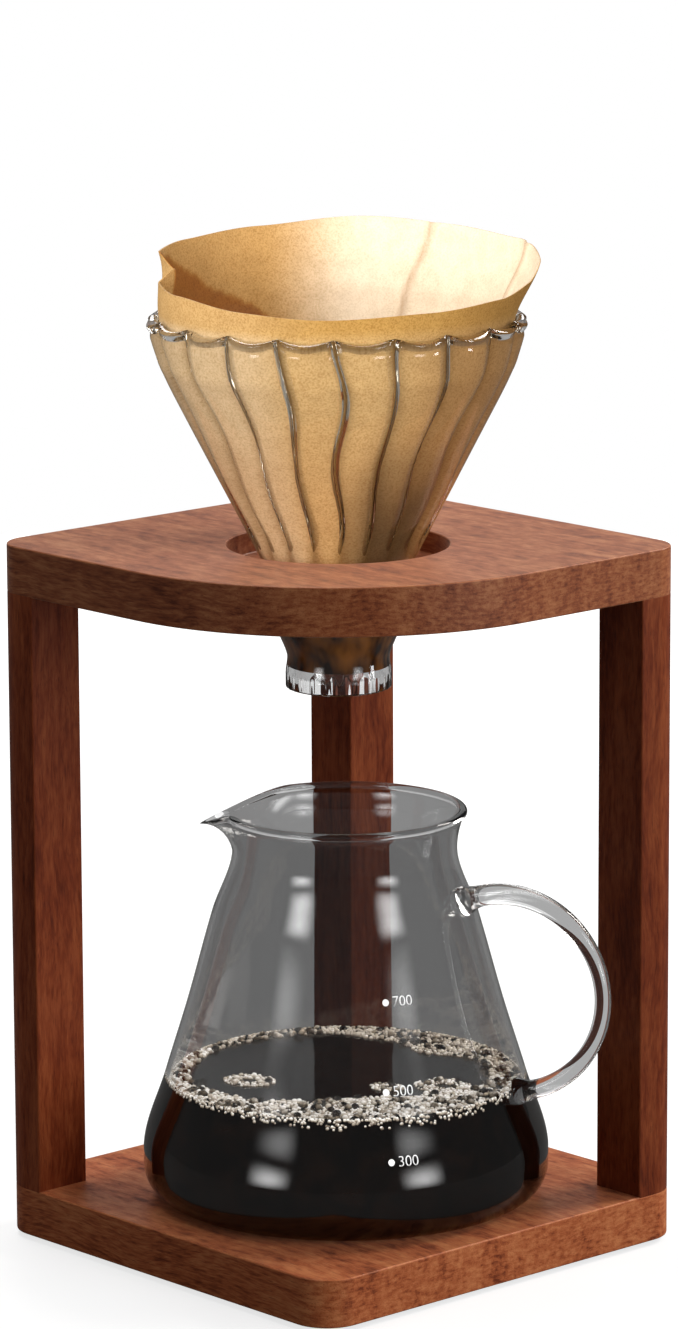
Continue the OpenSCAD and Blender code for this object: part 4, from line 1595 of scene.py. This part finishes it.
@dataclass
class FoamRing:
    """Foam along the carafe's wall and clear bubbles on the coffee, drawn at random from one seed.

    Sizes in millimetres in the carafe's own frame, bearings in degrees.
    """

    carafe: Carafe
    seed: int = 7
    band: tuple[Spot, ...] = (
        (-180.0, 5.0), (-135.0, 11.0), (-110.0, 20.0), (-80.0, 26.0), (-45.0, 20.0), (-15.0, 9.0),
        (20.0, 9.0), (50.0, 19.0), (75.0, 12.0), (100.0, 5.0), (140.0, 3.5), (180.0, 5.0),
    )
    islands: tuple[tuple[float, float, float], ...] = (
        (-25.0, -17.0, 8.0), (33.0, -3.0, 9.0), (17.0, -10.0, 5.0),
    )
    rounds: tuple[tuple[float, int], ...] = ((2.1, 70), (1.5, 160), (1.0, 700), (0.7, 4000), (0.48, 14000))
    island_share: int = 24
    wall_beads: int = 1200
    sunk: float = 0.95
    wall_gap: float = 0.3
    crowding: float = 0.66
    cell: float = 4.0
    large: float = 1.6
    large_side: float = 55.0
    clear_size: float = 1.2
    shaded_back: float = 12.0

    def __post_init__(self) -> None:
        """Starts its draws, with no bubble placed."""
        glass = self.carafe
        self.draw = random.Random(self.seed)
        self.level = glass.coffee_level - self.sunk
        self.wide = glass.radius(glass.coffee_level) - glass.wall - self.wall_gap
        self.placed: list[tuple[Vector, float]] = []
        self.cells: dict[tuple[int, int], list[tuple[float, float, float]]] = {}

    def settle(self, x: float, y: float, size: float) -> None:
        """Places a bubble if it has room among those placed."""
        col, row = int(x // self.cell), int(y // self.cell)
        for near in ((col + i, row + j) for i in (-1, 0, 1) for j in (-1, 0, 1)):
            for a, b, other in self.cells.get(near, ()):
                if (x - a) ** 2 + (y - b) ** 2 < (self.crowding * (size + other)) ** 2:
                    return
        self.cells.setdefault((col, row), []).append((x, y, size))
        self.placed.append((Vector((x, y, self.level)), size))

    def kept_out(self, size: float, bearing: float, depth: float) -> bool:
        """Whether a large bubble is left out at the wall, or by chance away from its side."""
        if size <= self.large:
            return False
        if depth < 2.5:
            return True
        return turn_between(bearing, self.large_side) > 70.0 and self.draw.random() < 0.7

    def fill_band(self, size: float, tries: int) -> None:
        """Tries bubbles of one size in the band along the wall."""
        for _ in range(tries):
            bearing = self.draw.uniform(-180.0, 180.0)
            depth = self.draw.random() ** 1.5 * table_value(self.band, bearing)
            if not self.kept_out(size, bearing, depth):
                x, y = ring(self.wide - 0.6 * size - depth, bearing + self.carafe.handle_turn)
                self.settle(x, y, size * self.draw.uniform(0.8, 1.15))

    def fill_islands(self, size: float, tries: int) -> None:
        """Tries bubbles of one size in the islands on the open coffee."""
        for x, y, reach in self.islands:
            for _ in range(tries):
                angle = self.draw.uniform(0.0, math.tau)
                away = reach * math.sqrt(self.draw.uniform(0.15, 1.0))
                own = size * self.draw.uniform(0.7, 1.0)
                if size < 2.0:
                    self.settle(x + away * math.cos(angle), y + 0.8 * away * math.sin(angle), own)

    def bead_wall(self) -> None:
        """Hangs small bubbles on the wall, just under the foam."""
        for _ in range(self.wall_beads):
            bearing = self.draw.uniform(-180.0, 180.0)
            size = self.draw.uniform(0.45, 0.8)
            z = self.level + 0.4 - 0.12 * self.draw.random() ** 2.4 * table_value(self.band, bearing)
            radius = self.carafe.radius(z) - self.carafe.wall + self.carafe.coffee_lap - 0.65 * size
            spot = Vector((*ring(radius, bearing + self.carafe.handle_turn), z))
            self.placed.append((spot, size))

    def bubble(self, name: str) -> Piece:
        """Models one bubble of radius 1: the upper part of a small ball."""
        put_down()
        bpy.ops.mesh.primitive_uv_sphere_add(segments=7, ring_count=5, radius=1.0, location=ORIGIN)
        piece = christen(name)
        edit_all()
        bpy.ops.mesh.bisect(plane_co=(0.0, 0.0, -0.35), plane_no=(0.0, 0.0, 1.0),
                            clear_inner=True, use_fill=True)
        bpy.ops.object.mode_set(mode="OBJECT")
        return piece

    def build(self) -> tuple[Piece, Piece]:
        """Models the foam and the clear bubbles.

        Returns:
            The foam of small bubbles, and the larger clear bubbles.
        """
        for size, tries in self.rounds:
            self.fill_band(size, tries)
            self.fill_islands(size, tries // self.island_share)
        self.bead_wall()
        pattern = self.bubble("bubble_pattern")
        small: list[Piece] = []
        large: list[Piece] = []
        for spot, size in self.placed:
            copy = pattern.copy()
            copy.data = pattern.data.copy()
            bpy.context.collection.objects.link(copy)
            lift = Vector((0.0, 0.0, self.draw.uniform(0.0, 0.25) * size))
            tone = self.draw.uniform(0.55, 1.0) if self.draw.random() < 0.88 else 0.35
            tone *= 0.66 if spot.y > self.shaded_back else 1.0
            # Painted shade: each bubble's tone darkens towards its foot, in the gaps between neighbours.
            paint(copy, "froth", lambda v: tone * (0.25 + 0.75 * ease(-0.2, 0.7, v.z)))
            reshape(copy, lambda v: self.carafe.place(spot + v * size + lift))
            (large if size > self.clear_size or self.draw.random() < 0.1 else small).append(copy)
        bpy.data.objects.remove(pattern)
        foam, clear = join("coffee_foam", small), join("coffee_bubbles", large)
        for piece in (foam, clear):
            smooth(piece, 80.0)
        return foam, clear


# The studio

@dataclass(frozen=True)
class Lamp:
    """One soft box, aimed at the stand from a bearing and an elevation in degrees."""

    name: str
    bearing: float
    elevation: float
    distance: float
    size: Spot
    level: float
    colour: Colour = WHITE
    panes: int = 0
    lit: tuple[str, ...] = ()
    unlit: tuple[str, ...] = ()
    unshaded: tuple[str, ...] = ()

    def hang(self, aim: Vector) -> None:
        """Hangs the lamp. At level 1 it alone lights a facing surface to its own colour.

        Args:
            aim: the point that it faces.
        """
        tilt = math.radians(self.elevation)
        way = Vector((*ring(math.cos(tilt), self.bearing), math.sin(tilt)))
        data = bpy.data.lights.new(self.name, "AREA")
        data.shape = "RECTANGLE"
        data.size, data.size_y = self.size
        data.energy = self.level * (math.pi * self.distance) ** 2
        data.color = self.colour
        lamp = bpy.data.objects.new(self.name, data)
        lamp.location = aim + self.distance * way
        lamp.rotation_euler = way.to_track_quat("Z", "Y").to_euler()
        lamp.visible_camera = False
        bpy.context.collection.objects.link(lamp)
        if self.panes:
            self.soften(data)
        if self.lit or self.unlit:
            lamp.light_linking.receiver_collection = self.flag("lights", self.lit, self.unlit)
        if self.unshaded:
            lamp.light_linking.blocker_collection = self.flag("shadows", (), self.unshaded)
        log.info("lamp %s hung", self.name)

    def soften(self, data: bpy.types.AreaLight) -> None:
        """Divides the box into soft panes, one above the other, at the same total power."""
        data.use_nodes = True
        board = Board(data.node_tree)
        across = board.add("SeparateXYZ", None, Vector=board.add("NewGeometry").outputs["Parametric"])

        def hump(value: Socket) -> Socket:
            """Nought at both ends of a range from 0 to 1, and one on average."""
            rest = board.sum("SUBTRACT", 1.0, value)
            return board.sum("MULTIPLY", board.sum("MULTIPLY", value, rest), 6.0)

        pane = board.sum("FRACT", board.sum("MULTIPLY", across.outputs[1], self.panes))
        both = board.sum("MULTIPLY", hump(across.outputs[0]), hump(pane))
        glow = board.sum("MULTIPLY", board.sum("POWER", both, 2.0), 0.69)
        shine = board.add("Emission", None, Strength=glow)
        board.add("OutputLight", None, Surface=shine.outputs[0])

    def flag(self, use: str, kept: Sequence[str], spared: Sequence[str]) -> bpy.types.Collection:
        """Lists the pieces that the lamp works on, or those that it spares.

        Args:
            use: what the list is for.
            kept: the only pieces it works on, or none for all.
            spared: the pieces it doesn't work on.

        Returns:
            The list as a collection for light linking.
        """
        group = bpy.data.collections.new(f"{self.name} {use}")
        for name in (*kept, *spared):
            group.objects.link(bpy.data.objects[name])
        for member in group.collection_objects:
            member.light_linking.link_state = "INCLUDE" if kept else "EXCLUDE"
        return group


PAPER = ("filter_paper_cone", "grounds_bed")
FOAM = ("coffee_foam", "coffee_bubbles", "carafe_volume_marks")
DRIPPER_GLASS = ("dripper_glass",)
CARAFE_GLASS = ("carafe_glass", "carafe_handle_rod")
COFFEE = ("coffee_pool",)
SHINY = DRIPPER_GLASS + CARAFE_GLASS + COFFEE

LAMPS = (
    Lamp("right key", 33.0, 36.0, 2.0, (0.7, 0.7), 0.75, (1.0, 0.96, 0.91), unlit=PAPER, unshaded=PAPER),
    Lamp("top box", 125.0, 72.0, 2.0, (1.0, 1.0), 0.58, unlit=PAPER, unshaded=PAPER),
    Lamp("back box", 96.0, 16.0, 2.0, (1.6, 0.6), 0.030, unlit=COFFEE),
    Lamp("front right box", -26.0, 17.0, 1.9, (1.6, 1.5), 0.60, unlit=SHINY),
    Lamp("front left box", -135.0, 17.0, 1.9, (1.6, 1.5), 0.05, unlit=SHINY),
    Lamp("right window", -44.0, 15.0, 1.8, (0.95, 1.4), 0.34, lit=SHINY, panes=2),
    Lamp("left window", -131.0, 15.0, 1.8, (0.95, 1.4), 0.34, lit=SHINY, panes=2),
    Lamp("dripper side", -8.0, 14.0, 1.8, (0.3, 1.2), 0.5, lit=DRIPPER_GLASS),
    Lamp("dripper back", 96.0, 31.0, 1.9, (1.4, 0.5), 0.30, lit=DRIPPER_GLASS),
    Lamp("carafe back", 96.0, 31.0, 1.8, (1.4, 0.5), 0.06, lit=CARAFE_GLASS),
    Lamp("filter top left", -166.0, 59.0, 2.0, (0.3, 0.3), 0.52, (1.0, 0.98, 0.94), lit=PAPER),
    Lamp("filter front", -110.0, 12.0, 2.0, (0.8, 0.8), 1.17, lit=PAPER),
    Lamp("filter back", 82.0, 22.0, 2.0, (0.8, 0.8), 0.6, lit=PAPER),
    Lamp("foam front", -100.0, 46.0, 2.0, (0.5, 0.5), 1.5, lit=FOAM),
)


@dataclass
class Studio:
    """White floor and surround, soft lamps, and the camera at the photograph's angle. Lengths in metres."""

    eye: tuple[float, float, float] = (0.08506, -1.82184, 0.55525)
    yaw: float = -0.0465
    pitch: float = 0.2025
    roll: float = -0.0045
    focal_pixels: float = 6100.61
    frame_pixels: tuple[int, int] = (679, 1329)
    film: float = 36.0
    aim: tuple[float, float, float] = (0.0, 0.0, 0.14)
    ambient: float = 0.165
    mirrored: float = 0.05
    seen_through: float = 0.44
    floor_side: float = 2.4
    floor_near: Spot = (0.4, 0.74)
    floor_far: Spot = (1.1, 1.0)
    floor_grey: Colour = (0.34, 0.34, 0.34)
    floor_dull: Colour = (0.08, 0.08, 0.08)

    def build(self) -> None:
        """Sets up the floor, the surround, the lamps and the camera."""
        self.lay_floor()
        self.wrap_surround()
        for lamp in LAMPS:
            lamp.hang(Vector(self.aim))
        self.set_camera()
        bpy.context.scene.view_settings.view_transform = "Standard"

    def lay_floor(self) -> None:
        """Lays the white floor, which keeps the stand's soft shadow and is whitest far from it."""
        put_down()
        bpy.ops.mesh.primitive_plane_add(size=self.floor_side, location=ORIGIN)
        floor = christen("floor")
        made = bpy.data.materials.new("white floor")
        made.use_nodes = True
        board = Board(made.node_tree)
        dull = board.add("BsdfDiffuse", None, Color=opaque(self.floor_dull))
        matt = board.add("BsdfDiffuse", None, Color=opaque(self.floor_grey))
        away = board.add("VectorMath", {"operation": "LENGTH"}, n0=board.place(IN_METRES))
        (near, dim), (far, bright) = self.floor_near, self.floor_far
        level = board.span(away.outputs["Value"], near, far, dim, bright)
        glow = board.add("Emission", None, Color=opaque(WHITE), Strength=level)
        grey = board.add("Emission", None, Color=opaque(WHITE), Strength=self.seen_through)
        lit = board.add("AddShader", None, n0=matt.outputs[0], n1=glow.outputs[0])
        ray = board.add("LightPath").outputs
        through = board.add("MixShader", None, n0=ray["Is Transmission Ray"],
                            n1=dull.outputs[0], n2=grey.outputs[0])
        shader = board.add("MixShader", None, n0=ray["Is Camera Ray"],
                           n1=through.outputs[0], n2=lit.outputs[0])
        board.finish(shader)
        floor.data.materials.append(made)

    def wrap_surround(self) -> None:
        """Makes the surround: white to the eye, grey through glass, dark in reflections, dim as light."""
        world = bpy.data.worlds.new("white surround")
        bpy.context.scene.world = world
        world.use_nodes = True
        board = Board(world.node_tree)
        ray = board.add("LightPath").outputs
        strength: Any = self.ambient
        for kind, level in (("Glossy", self.mirrored), ("Transmission", self.seen_through), ("Camera", 1.0)):
            strength = board.add("Mix", {"data_type": "FLOAT"}, n0=ray[f"Is {kind} Ray"],
                                 n2=strength, n3=level).outputs[0]
        glow = board.add("Background", None, Color=opaque(WHITE), Strength=strength)
        board.add("OutputWorld", None, Surface=glow.outputs[0])

    def set_camera(self) -> None:
        """Sets the camera from its place, its turns and its focal length in pixels."""
        level = math.cos(self.pitch)
        ahead = Vector((math.sin(self.yaw) * level, math.cos(self.yaw) * level, -math.sin(self.pitch)))
        right = Vector((math.cos(self.yaw), -math.sin(self.yaw), 0.0))
        up = right.cross(ahead)
        c, s = math.cos(self.roll), math.sin(self.roll)
        across, above = c * right + s * up, c * up - s * right
        data = bpy.data.cameras.new("photograph camera")
        data.sensor_width = self.film
        data.lens = self.focal_pixels * self.film / max(self.frame_pixels)
        camera = bpy.data.objects.new("photograph camera", data)
        turn = Matrix((across, above, -ahead)).transposed()
        camera.matrix_world = Matrix.Translation(self.eye) @ turn.to_4x4()
        bpy.context.collection.objects.link(camera)
        bpy.context.scene.camera = camera


def main() -> None:
    """Builds every sub-assembly over the loaded frame."""
    logging.basicConfig(level=logging.INFO, format="%(message)s")
    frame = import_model()
    levels = Levels.read()
    WoodStand(levels).build(frame)
    dripper = GlassDripper(levels)
    dripper.build()
    PaperFilter(levels, dripper).build()
    Carafe(levels).build()
    Studio().build()
    put_down()


if __name__ == "__main__":
    main()
